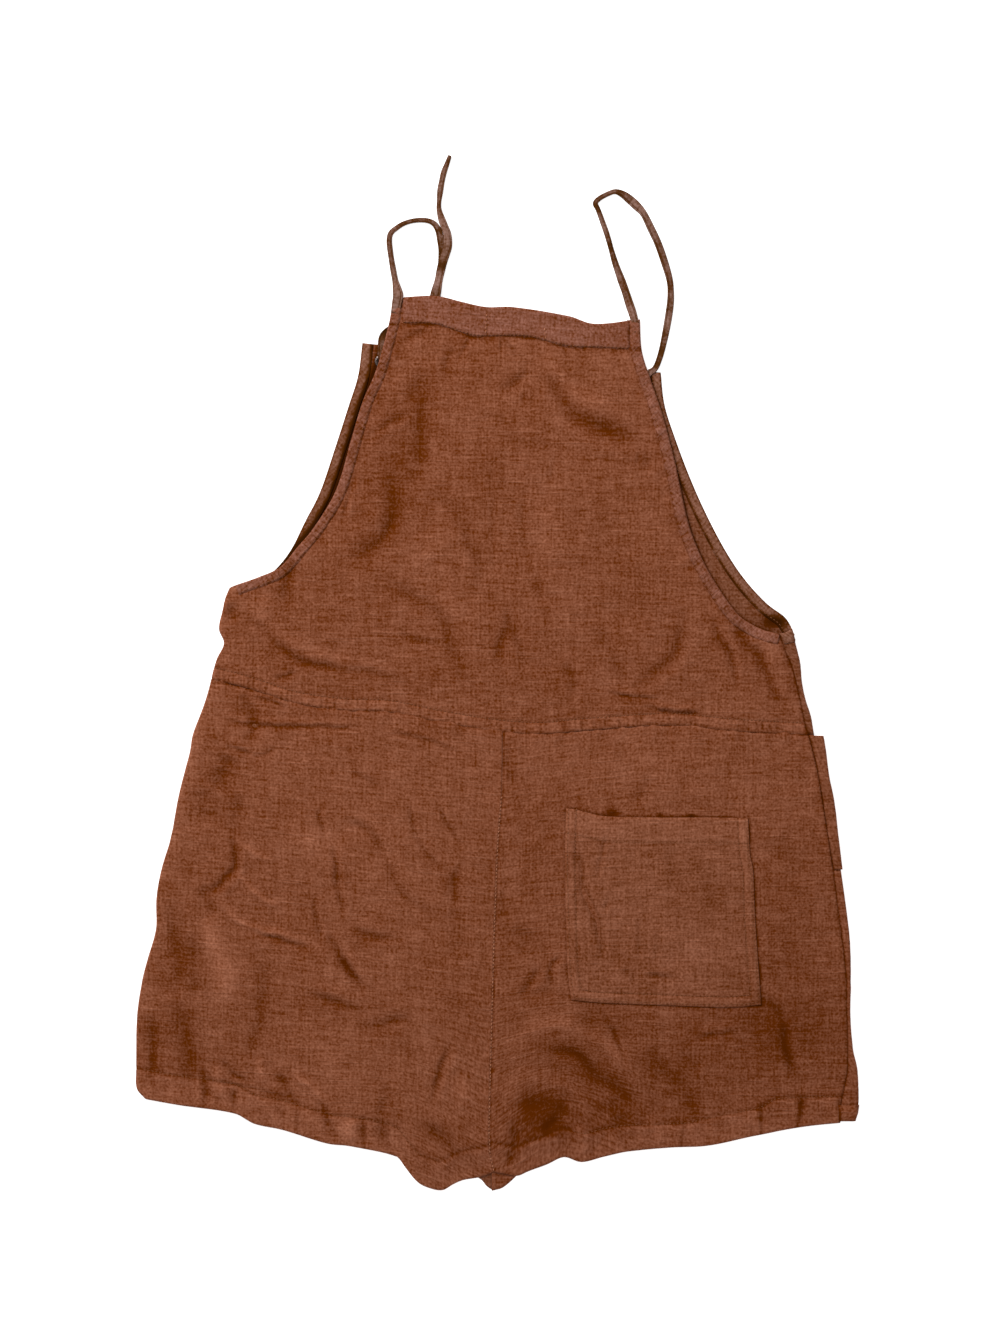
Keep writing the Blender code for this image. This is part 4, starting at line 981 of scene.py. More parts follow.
def lapped(points, side, under=False, below=math.inf):
    """Rounds an edge of a grid down where y is below a height, or with under, laps the next panel."""
    axis, at_end = {"top": (0, True), "bottom": (0, False), "right": (1, True), "left": (1, False)}[side]
    grid = np.moveaxis(points, axis, 0)
    grid = grid if at_end else grid[::-1]
    edge = grid[-1]
    outward = unit(edge[:, :2] - grid[-2, :, :2])
    here = (edge[:, 1] < below).astype(float)
    rows = [
        np.c_[edge[:, :2] + outward * (reach * here)[:, None], edge[:, 2] - drop * here]
        for reach, drop in (LAP_UNDER if under else ROUND_DOWN)
    ]
    grid = np.concatenate([grid[:-1], np.array(rows)])
    return np.moveaxis(grid if at_end else grid[::-1], 0, axis)


print("crowded at the start:", crowded(5, at_start=0.8).round(2))

# %% Shells, and what each one stands for
WALL = 0.6
BOUND_WALL = 0.5                 # of bindings and the band


def shell(name, points, put, grain, finish, wall=WALL):
    """A panel's mesh: a grid of (x, y, lift) put down, with its weave's coordinates and its painted shade."""
    rows, columns = points.shape[:2]
    surface = bmesh.new()
    bmesh.ops.create_grid(surface, x_segments=columns - 1, y_segments=rows - 1, size=0.5)
    mesh = mesh_of(name, surface)
    x, y, lift = points.reshape(-1, 3).T
    places, painted_shade = put(x, y, lift)
    mesh.vertices.foreach_set("co", (places * MM).ravel())
    corners = np.empty(len(mesh.loops), np.int32)
    mesh.loops.foreach_get("vertex_index", corners)
    weave = mesh.uv_layers.new(name="weave")
    weave.data.foreach_set("uv", (np.stack(grain(x, y), 1) * MM)[corners].ravel())
    mesh.attributes.new("painted_shade", "FLOAT", "POINT").data.foreach_set("value", painted_shade)
    mesh.shade_smooth()
    mesh.materials.append(finish)
    made = add(name, mesh)
    thick = made.modifiers.new("Wall", "SOLIDIFY")
    thick.thickness = wall * MM
    thick.offset = 0
    print(f"{name}: {rows} x {columns} points")
    return made


def flat_area(points):
    """Area of a grid of unrolled cloth, in square metres."""
    a, b, c, d = points[:-1, :-1], points[1:, :-1], points[1:, 1:], points[:-1, 1:]
    p, q = c - a, d - b
    return 0.5 * np.abs(p[..., 0] * q[..., 1] - p[..., 1] * q[..., 0]).sum() * MM * MM


SHEETS = []
SEWN = {}                        # the stitches on each sheet


def declare(piece, node_name, flat, rests_on, area=None):
    """Says what a piece of cloth stands for, and keeps how it was cut and what it lies on."""
    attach(piece, "root")
    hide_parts(node_name)
    SHEETS.append((piece, flat, rests_on, area))


def panel(name, points, put, grain, finish, rests_on):
    made = shell(name, points, put, grain, finish)
    size = np.ptp(points[..., :2].reshape(-1, 2), axis=0) * MM
    declare(made, name.removesuffix("_cloth"), tuple(size), rests_on, flat_area(points[..., :2]))
    return made


print(f"walls: {WALL} mm, and {BOUND_WALL} mm where cloth is folded narrow")

# %% [markdown]
# ## Slubby linen
# Linen yarn is thick and thin, so a plain weave of it shows long pale slubs across and finer
# lines down. One node group draws this from the cloth's own coordinates: stretched noise for
# each direction of yarn, rare bright slubs, and slow clouds of dye. It also paints shade: the
# mesh's painted shade deepens and darkens the colour in troughs, and a negative one paints light.

# %% The weave as a node group
def socket(tree, name, kind, way="INPUT", value=None):
    made = tree.interface.new_socket(name=name, in_out=way, socket_type="NodeSocket" + kind)
    if value is not None:
        made.default_value = value


def stretched(tree, cloth, scale, detail=2.0):
    """Noise whose bumps are 1/scale long in each direction of the cloth, in metres."""
    placed = node(tree, "Mapping", {"Vector": cloth, "Scale": (*scale, 1)})
    return node(tree, "TexNoise", {"Vector": placed.outputs[0], "Scale": 1.0, "Detail": detail}).outputs[0]


def ranged(tree, value, low, high, to_low=0.0, to_high=1.0):
    return node(tree, "MapRange", {0: value, 1: low, 2: high, 3: to_low, 4: to_high}).outputs[0]


def math_of(tree, operation, *values):
    return node(tree, "Math", dict(enumerate(values)), operation=operation).outputs[0]


def mixed(tree, factor, a, b):
    """A colour on the line through a and b. The factor may go past either end."""
    return node(tree, "Mix", {0: factor, 6: a, 7: b}, data_type="RGBA", clamp_factor=False).outputs[2]


def kept_within(tree, value, low, high):
    return math_of(tree, "MAXIMUM", math_of(tree, "MINIMUM", value, high), low)


PAINTED_SHADE_DEEPENS = -0.29           # how the painted shade moves the tone towards the deep one
PAINTED_SHADE_DARKENS = -0.085           # and how the painted shade darkens both
TONES = (-0.2, 1.9)
GLOSS = 0.06
NAP = 0.02
MATT_IN_PAINTED_SHADE = (0.4, 1.8)         # the painted shade where gloss and nap begin to fade, and where they end


def weave_group():
    tree = bpy.data.node_groups.new("linen_weave", "ShaderNodeTree")
    socket(tree, "Cloth", "Vector")
    socket(tree, "Painted Shade", "Float", value=0.0)
    socket(tree, "Slub", "Float", value=0.5)
    socket(tree, "Deep", "Color", value=(0.1, 0.1, 0.1, 1))
    socket(tree, "Worn", "Color", value=(0.3, 0.3, 0.3, 1))
    socket(tree, "Color", "Color", "OUTPUT")
    socket(tree, "Height", "Float", "OUTPUT")
    given = tree.nodes.new("NodeGroupInput").outputs
    cloth = given["Cloth"]
    weft = stretched(tree, cloth, (55, 560), 2.0)
    warp = stretched(tree, cloth, (560, 45), 2.0)
    grain = stretched(tree, cloth, (540, 500), 2.0)
    slub = ranged(tree, stretched(tree, cloth, (28, 620), 1.0), 0.58, 0.74)
    thin = ranged(tree, stretched(tree, cloth, (700, 22), 1.0), 0.62, 0.76)
    bands = (
        (grain, 0.58), (weft, 0.34), (warp, 0.25), (stretched(tree, cloth, (16, 210)), 0.14),
        (stretched(tree, cloth, (190, 14)), 0.13), (stretched(tree, cloth, (110, 150)), 0.11),
        (stretched(tree, cloth, (22, 26)), 0.10),
    )
    tone = math_of(tree, "MULTIPLY_ADD", slub, given["Slub"], 0.5)
    for band, amount in bands:
        tone = math_of(tree, "MULTIPLY_ADD", ranged(tree, band, 0.3, 0.7, -1, 1), amount, tone)
    tone = math_of(tree, "MULTIPLY_ADD", thin, -0.22, tone)
    tone = math_of(tree, "MULTIPLY_ADD", given["Painted Shade"], PAINTED_SHADE_DEEPENS, tone)
    colour = mixed(tree, kept_within(tree, tone, *TONES), given["Deep"], given["Worn"])
    shaded = kept_within(tree, math_of(tree, "MULTIPLY_ADD", given["Painted Shade"], PAINTED_SHADE_DARKENS, 1.0), 0.35, 1.12)
    shaded = math_of(tree, "MULTIPLY", shaded, ranged(tree, grain, 0.3, 0.7, 0.96, 1.04))
    colour = node(tree, "VectorMath", {0: colour, 3: shaded}, operation="SCALE").outputs[0]
    height = math_of(tree, "ADD", math_of(tree, "ADD", weft, warp), math_of(tree, "ADD", grain, slub))
    out = tree.nodes.new("NodeGroupOutput")
    tree.links.new(colour, out.inputs["Color"])
    tree.links.new(height, out.inputs["Height"])
    return tree


WEAVE = weave_group()
print("weave:", len(WEAVE.nodes), "nodes")


# %% Finishes of linen
def linen(name, deep, worn, slub=0.35):
    """Matt linen in two tones, with the mesh's painted shade and light. Its fine relief is the weave's own
    height.
    """
    made, tree, shader = finish_of(name)
    weave = tree.nodes.new("ShaderNodeGroup")
    weave.node_tree = WEAVE
    cloth = node(tree, "UVMap", uv_map="weave").outputs[0]
    painted_shade = node(tree, "Attribute", attribute_name="painted_shade").outputs["Fac"]
    feed(tree, weave, {
        "Cloth": cloth, "Painted Shade": painted_shade, "Slub": slub, "Deep": (*deep, 1), "Worn": (*worn, 1),
    })
    relief = node(tree, "Bump", {"Height": weave.outputs["Height"], "Strength": 0.5, "Distance": 0.0003})
    feed(tree, shader, {
        "Base Color": weave.outputs["Color"], "Normal": relief.outputs[0], "Roughness": 0.9,
        "Specular IOR Level": ranged(tree, painted_shade, *MATT_IN_PAINTED_SHADE, GLOSS, 0.0),
        "Sheen Weight": ranged(tree, painted_shade, *MATT_IN_PAINTED_SHADE, NAP, 0.0), "Sheen Roughness": 0.5,
    })
    return made


OUTSIDE = linen("linen_outside", (0.151, 0.0348, 0.0078), (0.255, 0.087, 0.044))
# painted shade: the inside's linen is a darker copy of the outside's, for the shade inside the garment
INSIDE_SHADED = linen("linen_inside", (0.135, 0.0345, 0.0087), (0.226, 0.084, 0.045))
BOUND = linen("linen_bound", (0.152, 0.0392, 0.0122), (0.256, 0.0985, 0.064), 0.2)
FACING = linen("linen_facing", (0.134, 0.0400, 0.0120), (0.228, 0.097, 0.060), 0.2)
PATCH = linen("linen_patch", (0.144, 0.0350, 0.0084), (0.247, 0.086, 0.044))
STRAP = linen("linen_strap", (0.118, 0.0450, 0.0190), (0.206, 0.110, 0.082), 0.2)
print("finishes:", len(bpy.data.materials))

# %% [markdown]
# ## The back
# The bodice is one panel from the waist to the bib's top. Two legs hang from the waist seam and
# meet at the centre seam. Their weave leans with the waist, and swings round the crotch's hollow.

# %% How the weave lies on each panel
# how far it swings at the crotch, then the middle's x and y, and the reach across and up
SWING_LEFT = [(26, -20, -320, 70, 90)]
SWING_RIGHT = [(34, 45, -285, 55, 60)]


def bodice_grain(x, y):
    return x, y + 0.02 * x


def left_leg_grain(x, y):
    return x + 2000, y + 0.09 * x + spots(x, y, SWING_LEFT) * (x + 60) / 60


def right_leg_grain(x, y):
    return x + 4000, y - 0.10 * np.minimum(x, 120) - spots(x, y, SWING_RIGHT)


def plain_grain(offset, lean=0.0):
    def grain(x, y):
        return x + offset, y + lean * x
    return grain


def bias_grain(offset):
    def grain(x, y):
        return 0.7 * (x + y) + offset, 0.7 * (y - x)
    return grain


print("the bodice's weave at x 100, y 200:", bodice_grain(100, 200))


# %% Edges of the panels
def column(line, low, high, count=60):
    """An edge that runs up the garment, from one height to another. line gives x at each height."""
    y = np.linspace(low, high, count)
    return np.stack([line(y), y], 1)


def row(line, low, high, count=120):
    """An edge that runs across, between two x. line is a table."""
    x = np.linspace(low, high, count)
    return np.stack([x, y_at(line, x)], 1)


def seam_x(y):
    return x_at(SIDE_SEAM, y)


def centre_x(y):
    return x_at(CENTRE_SEAM, y)


LOWER_SHARE = 0.25               # of a bodice's rows that lie below its armholes


def bodice_edge(line, waist, armhole, side):
    """From the waist up the seam to the armhole's foot, then round the armhole to the top."""
    foot = ARMHOLE_FOOT[side]
    lower = column(line, waist, foot)
    upper = rounded(np.vstack([lower[-1:], armhole]), 1.0)
    rows = 400
    below = int(rows * LOWER_SHARE)
    return np.vstack([evenly(lower, below), evenly(upper, rows - below + 1)[1:]])


SEAM_GAP = (0.15, 0.0)           # half of the gap at a seam


def between(left, right, low, high, across, up, seam=None):
    """A grid between two side edges and two tables, less half of the gap at a side with a seam."""
    ends = row(low, left[0, 0], right[0, 0]), row(high, left[-1, 0], right[-1, 0])
    if seam == "left":
        left = left + SEAM_GAP
    if seam == "right":
        right = right - SEAM_GAP
    return with_lift(patch(left, right, *ends, across, up))


print(f"centre seam: {length_of(column(centre_x, CENTRE_SEAM[0][1], CENTRE_SEAM[-1][1])):.0f} mm long")

# %% Back bodice
left = bodice_edge(unrolled_left, WAIST[0][1], BACK_ARMHOLE["left"], "left")
right = bodice_edge(seam_x, WAIST[-1][1], BACK_ARMHOLE["right"], "right")
grid = between(
    left, right, WAIST, BIB_TOP, crowded(250, at_start=0.8),
    np.r_[np.linspace(0, 0.1, 36)[:-1], np.linspace(0.1, 1, 148)],
)
grid = lapped(lapped(grid, "bottom"), "right")
panel("back_bodice_cloth", grid, put_on(bodice_relief), bodice_grain, OUTSIDE,
      ["front_bodice_cloth"])

# %% The shade that the pocket throws round itself
BACK_POCKET_LEFT = [(59, -204.2), (56, -177), (54.3, -118.5), (53.7, -95), (54.3, -71.6), (54.8, -51)]
BACK_POCKET_RIGHT = [(210.9, -208.2), (206.2, -142), (204.5, -102), (202, -88), (200.4, -59)]
BACK_POCKET_FOOT = [(59, -204.2), (82, -206.5), (108, -207.6), (142, -208.8), (183, -210.2), (210.9, -208.2)]
BACK_POCKET_TOP = [
    (54.8, -51), (62, -51.8), (72, -54.5), (89, -57.5), (132, -58.4), (170, -58.4), (200.4, -59),
]
# how dark, and how far: at the left, the right, the foot and the mouth
POCKET_SHADES = ((1.2, 1.8), (4.2, 1.7), (2.6, 1.0), (3.8, 1.5))
SHADE_PAST = 3.0                 # how far a side's shade goes on past the pocket's corners
# how dark, then the middle's x and y, and the reach across and up
MOUTH_NOTCHES = [
    (5.0, 92, -54.5, 5.0, 2.6), (5.0, 130, -56.5, 1.6, 1.6), (5.0, 155, -56.8, 3.0, 1.4),
]


def past_pocket(x, y):
    """How far outside the pocket's left, right, foot and mouth each point is."""
    return (
        x_at(BACK_POCKET_LEFT, y) - x, x - x_at(BACK_POCKET_RIGHT, y),
        y_at(BACK_POCKET_FOOT, x) - y, y - y_at(BACK_POCKET_TOP, x),
    )


def pocket_shade(x, y):
    left, right, foot, mouth = past_pocket(x, y)
    level, upright = np.maximum(foot, mouth), np.maximum(left, right)
    uneven = 0.8 + 0.5 * swells(x, y, 14, 81)
    shade = np.zeros_like(x)
    sides = ((left, level), (right, level), (foot, upright), (mouth, upright))
    for (dark, reach), (away, other) in zip(POCKET_SHADES, sides):
        near = bump(np.clip(away, 0, None), reach) * ease(1 - other / SHADE_PAST) * (away > -SHADE_PAST)
        shade = np.maximum(shade, dark * uneven * near)
    return shade


def pocketed_leg_relief(x, y):
    """The right leg with the pocket's shade on it, which is deepest where its mouth's edge is rumpled."""
    height, painted_shade = leg_relief(x, y)
    return height, painted_shade + pocket_shade(x, y) + spots(x, y, MOUTH_NOTCHES)


print("beside the pocket:", pocket_shade(np.array([206.0, 212.0]), np.array([-120.0, -120.0])).round(2))

# %% Back legs
left = column(unrolled_left, HEM_LEFT[0][1], WAIST[0][1])
centre = column(centre_x, CENTRE_SEAM[0][1], CENTRE_SEAM[-1][1])
right = column(seam_x, y_at(HEM_RIGHT, SIDE_SEAM[0][0]), WAIST[-1][1])
up = np.linspace(0, 1, 222)
grid = between(left, centre, HEM_LEFT, WAIST, crowded(204, at_start=0.7), up, "right")
grid = hemmed(lapped(lapped(grid, "top", under=True), "right"))
panel("back_leg_left_cloth", grid, put_on(leg_relief), left_leg_grain, OUTSIDE,
      ["front_leg_left_cloth"])
grid = between(centre, right, HEM_RIGHT, WAIST, np.linspace(0, 1, 204), up, "left")
grid = hemmed(lapped(lapped(lapped(grid, "top", under=True), "right"), "left", under=True))
panel("back_leg_right_cloth", grid, put_on(pocketed_leg_relief), right_leg_grain, OUTSIDE,
      ["front_leg_right_cloth"])

# %% [markdown]
# ## The front
# Most of the front is hidden, so its grids are coarser. It shows inside the armholes, past the
# hem at the crotch, and at the right, where it turns up over the edge to the side seam.

# %% Front hems
FRONT_HEM_INSET = 2.0


def front_hem(side):
    """The back's hem drawn up a little, with the crotch that shows past it."""
    hem = HEM_LEFT if side == "left" else HEM_RIGHT
    tip = FRONT_CROTCH[2]
    crotch = [p for p in FRONT_CROTCH if (p[0] <= tip[0] if side == "left" else p[0] >= tip[0])]
    seam = hem[0] if side == "left" else hem[-1]
    kept = [(x, y + FRONT_HEM_INSET) for x, y in hem if not crotch[0][0] <= x <= crotch[-1][0]]
    return sorted([p for p in kept if p[0] != seam[0]] + crotch + [seam])


def put_plain_front(x, y, lift):
    return put_front(x, y, lift, front_relief)


print("front hems:", len(front_hem("left")), "and", len(front_hem("right")), "points")

# %% Front bodice and legs
left = bodice_edge(left_seam, WAIST[0][1], FRONT_ARMHOLE["left"], "left")
right = bodice_edge(unrolled_right, WAIST[-1][1], FRONT_ARMHOLE["right"], "right")
coarse, top = np.linspace(0, 1, 110), [left[-1], right[-1]]
grid = between(left, right, WAIST, top, crowded(150, at_end=0.9), coarse)
grid = lapped(grid, "right", under=True, below=ARMHOLE_FOOT["right"])
panel("front_bodice_cloth", grid, put_plain_front, plain_grain(6000, 0.03), INSIDE_SHADED,
      ["table"])

left = column(left_seam, HEM_LEFT[0][1], WAIST[0][1])
centre = column(centre_x, FRONT_CROTCH[2][1], CENTRE_SEAM[-1][1])
right = column(unrolled_right, HEM_RIGHT[-1][1], WAIST[-1][1])
grid = between(left, centre, front_hem("left"), WAIST, np.linspace(0, 1, 90), coarse, "right")
panel("front_leg_left_cloth", hemmed(grid, thickness=-1.0), put_plain_front, plain_grain(8000, 0.05),
      INSIDE_SHADED, ["table"])
across = crowded(130, at_end=0.9)
grid = between(centre, right, front_hem("right"), WAIST, across, np.linspace(0, 1, 150), "left")
grid = lapped(lapped(grid, "right", under=True), "left", under=True)
panel("front_leg_right_cloth", hemmed(grid, thickness=-1.0), put_plain_front, plain_grain(10000, -0.04),
      OUTSIDE, ["table"])

# %% [markdown]
# ## What is sewn on
# Bindings, the bib's band and the pockets are laid on the panels: their grids use the panels' own
# surface and lift off it by the cloth's thickness. Their edges are folded, so they round down.

# %% Strips along an armhole
def strip(edge, sign, profile):
    """A narrow strip along an edge, whose inside is at +X if sign is 1. profile is (inset, lift) across."""
    run = unit(np.gradient(edge, axis=0))
    inward = sign * np.stack([run[:, 1], -run[:, 0]], 1)
    rows = [np.c_[edge + inward * inset, np.full(len(edge), lift)] for inset, lift in profile]
    return np.stack(rows, 1)


BINDING_PROFILE = [
    (6.8, -0.8), (1.3, -0.85), (0.45, -0.6), (0.2, -0.1), (0.35, 0.45), (0.8, 0.75), (1.6, 0.88),
    (3.2, 0.92), (5.0, 0.94), (6.4, 0.9), (7.0, 0.72), (7.5, 0.42), (8.0, 0.2), (8.6, 0.02), (9.2, -0.2),
    (9.8, -0.45),
]
FACING_PROFILE = [
    (7.6, 0.4), (6.9, 0.7), (3.0, 0.8), (0.3, 0.75), (-0.4, 0.4), (-0.55, -0.1), (-0.35, -0.55),
    (0.3, -0.85), (0.9, -0.92), (1.7, -0.96), (2.6, -0.98), (3.6, -0.98), (4.6, -0.95), (5.6, -0.88),
    (6.3, -0.82), (6.9, -0.75), (7.5, -0.6), (8.1, -0.35),
]
FACING_SEAM = 7.2                # from the armhole's edge
FACING_FOLD = (2.5, 0.8, 1.2)    # how much painted shade darkens its folded edge, and from where inwards over how much
CORNER_MOVES = (4.0, -1.0)       # of the foot's shade, where it falls on the facing
HIDDEN_SHARE = 0.3
INNER_EDGE = 0.2                 # lift of a back binding where it meets the bodice
RUFFLE = 0.16
RUFFLE_LENGTH = 6.0
LOW_RIGHT = (188.0, 22.0)        # from this x, over this much, the inner line's painted shade grows darker
LOW_RIGHT_DARKER = 1.4
FOOT_Y = ARMHOLE_FOOT["right"]


def facing_of(side, edge):
    """Puts a front's facing down, with painted shade along the twisted seam at its inner edge and its folded
    edge, and at the right in the armhole's foot; a beaded strip by its seam gets painted light.
    """
    inward = 1 if side == "left" else -1

    def put(x, y, lift):
        places, painted_shade = put_plain_front(x, y, lift)
        away, part = from_line(x, y, np.asarray(edge, float))
        along = part * ARMHOLE_LENGTH
        inside = -away * inward
        seam = dark_line(inside - FACING_SEAM, along, FACING_LINE, 98)
        seam -= 0.9 * beaded(along, inside, 0, 6.5, 0.8, 99)
        dark, edge_from, over = FACING_FOLD
        shown = painted_shade + seam + dark * ease((edge_from - inside) / over)
        if inward > 0:
            return places, shown
        corner = spots(x - CORNER_MOVES[0], y - CORNER_MOVES[1], FOOT_SHADE)
        return places, np.where(x < right_start(y), shown + corner, HIDDEN_SHARE * painted_shade)
    return put


def binding(name, edge, sign, profile, put, offset, rests_on, finish=BOUND):
    points = strip(edge, sign, profile)
    if sign < 0:
        points = points[:, ::-1]
    made = shell(name, points, put, bias_grain(offset), finish, BOUND_WALL)
    insets = [inset for inset, lift in profile]
    width = sum(abs(b - a) for a, b in zip(insets, insets[1:])) * MM
    declare(made, name.removesuffix("_cloth"), (width, length_of(edge) * MM), rests_on)


def ruffled_back(seed):
    """The back's bodice surface, with a binding's own small ripples on it, and a line of painted shade at the
    binding's inner edge.
    """
    def put(x, y, lift):
        rippled = lift + RUFFLE * np.sign(lift) * swells(x + y, x - y, RUFFLE_LENGTH, seed)
        places, painted_shade = put_back(x, y, rippled, bodice_relief)
        dark = dark_line((lift - INNER_EDGE) / 0.2, x + y, BINDING_LINE, seed + 2)
        return places, painted_shade + dark * (1 + LOW_RIGHT_DARKER * ease((x - LOW_RIGHT[0]) / LOW_RIGHT[1]))
    return put


print("binding:", len(BINDING_PROFILE), "points across, and facing:", len(FACING_PROFILE))

# %% Bindings and facings
foot_right = (float(seam_x(FOOT_Y)) - 0.3, FOOT_Y)
binding("back_binding_left_cloth", rounded(BACK_ARMHOLE["left"][1:], 0.9), 1, BINDING_PROFILE,
        ruffled_back(51), 300, ["back_bodice_cloth"])
binding("back_binding_right_cloth", rounded([foot_right] + BACK_ARMHOLE["right"], 0.9), -1, BINDING_PROFILE,
        ruffled_back(52), 600, ["back_bodice_cloth"])
edge_left = rounded(FRONT_ARMHOLE["left"][1:], 1.6)
binding("front_binding_left_cloth", edge_left, 1, FACING_PROFILE,
        facing_of("left", edge_left), 900, ["front_bodice_cloth"], FACING)
front_foot = [(float(unrolled_right(FOOT_Y)), FOOT_Y), (245.0, 89.0)]
edge_right = rounded(front_foot + FRONT_ARMHOLE["right"], 1.6)
binding("front_binding_right_cloth", edge_right, -1, FACING_PROFILE,
        facing_of("right", edge_right), 1200, ["front_bodice_cloth"], FACING)

# %% Band at the bib's top
BAND_INSET = 7.4                 # where it ends, under the bindings
BAND_SINKS = 2.2                 # over this much of its ends
BAND_TURNED = 9.0                # of its width, under the bib's top

band_left = BACK_ARMHOLE["left"][-1][0] + BAND_INSET
band_right = BACK_ARMHOLE["right"][-1][0] - BAND_INSET
lower = row(BAND_SEAM, band_left, band_right, 200)
upper = row(BIB_TOP, band_left, band_right, 200)
climb = unit(upper - lower)
BAND_PARTS = [(-0.03, -0.2), (-0.015, 0.1), (0.01, 0.2), (0.04, 0.32), (0.07, 0.6), (0.10, 0.8)]
BAND_PARTS += [(t, 0.85) for t in np.linspace(0.15, 0.94, 15)]
BAND_TURN = [(-0.3, 0.75), (0.25, 0.45), (0.4, 0.0), (0.2, -0.55), (-2.0, -0.8), (-8.0, -0.8)]
sunk = 0.9 * (1 - ease(np.minimum(upper[:, 0] - band_left, band_right - upper[:, 0]) / BAND_SINKS))
band_rows = [np.c_[lower + (upper - lower) * part, lift - sunk] for part, lift in BAND_PARTS]
band_rows += [np.c_[upper + climb * beyond, lift - np.sign(lift) * sunk] for beyond, lift in BAND_TURN]
band = shell(
    "back_top_band_cloth", np.stack(band_rows), ruffled_back(61), plain_grain(1500, 0.08), BOUND, BOUND_WALL,
)
band_width = float(np.linalg.norm(upper - lower, axis=1).mean()) + BAND_TURNED
declare(band, "back_top_band", (band_width * MM, (band_right - band_left) * MM),
        ["back_bodice_cloth"])

# %% Back pocket
BORDER = (0.25, 0.7, 1.4, 2.0, 2.6, 4.4, 6.0, 7.3, 7.8, 8.3, 8.8, 9.4)


def bordered(count, length):
    """Parts from 0 to 1 with extra ones just inside both ends, for a folded border."""
    near = [0.0] + [inset / length for inset in BORDER]
    middle = np.linspace(near[-1], 1 - near[-1], count - 2 * len(BORDER))
    return np.array(near[:-1] + list(middle) + [1 - part for part in near[-2::-1]])


POCKET_SIZE = (150.0, 152.0)
POCKET_MOUTH = 20.0              # depth of the turning at its mouth
POCKET_EDGE_LIFT = 0.66
POCKET_LIFT = 1.0
POCKET_ROUND = 1.3               # how much of its edge rounds down
POCKET_ROWS = (2.0, 8.3)         # of stitches, from its sides and foot
# how high its mouth stands, the middle's x, and the reach across and down
POCKET_STANDS = (1.6, 88.0, 26.0, 18.0)
POCKET_TINT = -0.4


def folded_border(points, across, up):
    """The pocket's grid with its lifts, which are lower at its folded edges."""
    from_side = np.minimum(across, 1 - across) * POCKET_SIZE[0]
    from_end = np.minimum(up, 1 - up) * POCKET_SIZE[1]
    inset = np.minimum(from_side[None, :], from_end[:, None])
    raised = (POCKET_LIFT - POCKET_EDGE_LIFT) * ease(inset / POCKET_ROUND)
    return np.dstack([points, POCKET_EDGE_LIFT + raised])


across = bordered(118, POCKET_SIZE[0])
up = bordered(118, POCKET_SIZE[1])
pocket_grid = patch(
    rounded(BACK_POCKET_LEFT, 1.5), rounded(BACK_POCKET_RIGHT, 1.5),
    rounded(BACK_POCKET_FOOT, 1.5), rounded(BACK_POCKET_TOP, 1.5), across, up,
)
pocket_grid = folded_border(pocket_grid, across, up)


def pocket_relief(x, y):
    """The leg under the pocket, with the pocket's own creases, its turned edges and its mouth."""
    height, painted_shade = leg_relief(x, y)
    own, own_painted_shade = creased(x, y, POCKET_CREASES, 300)
    left, right, foot, mouth = (-past for past in past_pocket(x, y))
    sides = np.minimum(np.minimum(left, right), foot)
    height = 0.75 * height + own + 0.25 * waves(x, y, SWELLING, 33)
    border = plateau(sides, 0.4, 8.0, 0.25) + plateau(mouth, 0.2, POCKET_MOUTH, 0.25)
    rows = ditch(sides - POCKET_ROWS[0], 0.15, 0.6) + ditch(sides - POCKET_ROWS[1], 0.2, 0.7)
    rows += ditch(mouth - POCKET_MOUTH, 0.15, 0.8)
    drawn = puckers(x + y, sides - 4, 5, 0.2, 35, 6.0)
    stands, middle, across, down = POCKET_STANDS
    height += border + rows + drawn + stands * bump(x - middle, across) * bump(mouth, down)
    # painted light on the folded border; painted shade in the stitch rows; both on the puckers
    return height, painted_shade + own_painted_shade + POCKET_TINT - 1.8 * border - 5.0 * rows - drawn


panel("back_pocket_cloth", pocket_grid, put_on(pocket_relief), plain_grain(12000, -0.02), PATCH,
      ["back_leg_right_cloth"])


# %% Front pockets
def ruled(start, stop, parts):
    """A grid with straight rows from one edge to another."""
    parts = parts[None, :, None]
    return start[:, None] * (1 - parts) + stop[:, None] * parts


def pocket_edges(pocket, rows):
    """Heights up a front pocket's seam edge, and the heights of its inner edge across from them."""
    part = np.linspace(0, 1, rows)
    seam = pocket.seam_bottom + (pocket.seam_top - pocket.seam_bottom) * part
    return seam, seam + pocket.drop_bottom + (pocket.drop_top - pocket.drop_bottom) * part


seam_edge, inner_edge = pocket_edges(FRONT_POCKET_LEFT, 50)
seam = left_seam(seam_edge)
left_pocket_grid = ruled(
    np.stack([seam, seam_edge], 1), np.stack([seam + FRONT_POCKET_LEFT.width, inner_edge], 1),
    np.linspace(0, 1, 60),
)
panel("front_pocket_left_cloth", with_lift(left_pocket_grid, 0.9), put_plain_front, plain_grain(14000),
      PATCH, ["table"])

seam_edge, inner_edge = pocket_edges(FRONT_POCKET_RIGHT, 90)
hinge = right_start(seam_edge) + pocket_gape(seam_edge)
seam = 2 * hinge + HALF_TURN - x_at(SIDE_SEAM, seam_edge)
inner = np.stack([hinge - FRONT_POCKET_RIGHT.width, inner_edge], 1)
laid = np.stack([hinge, seam_edge], 1)
wrapped = np.stack([seam, seam_edge], 1)
right_pocket_grid = np.concatenate(
    [ruled(inner, laid, crowded(60, at_end=0.9)), ruled(laid, wrapped, np.linspace(0, 1, 34)[1:])], axis=1,
)


def put_gaping(x, y, lift):
    return put_front(x, y, lift, front_relief, pocket_gape(y))


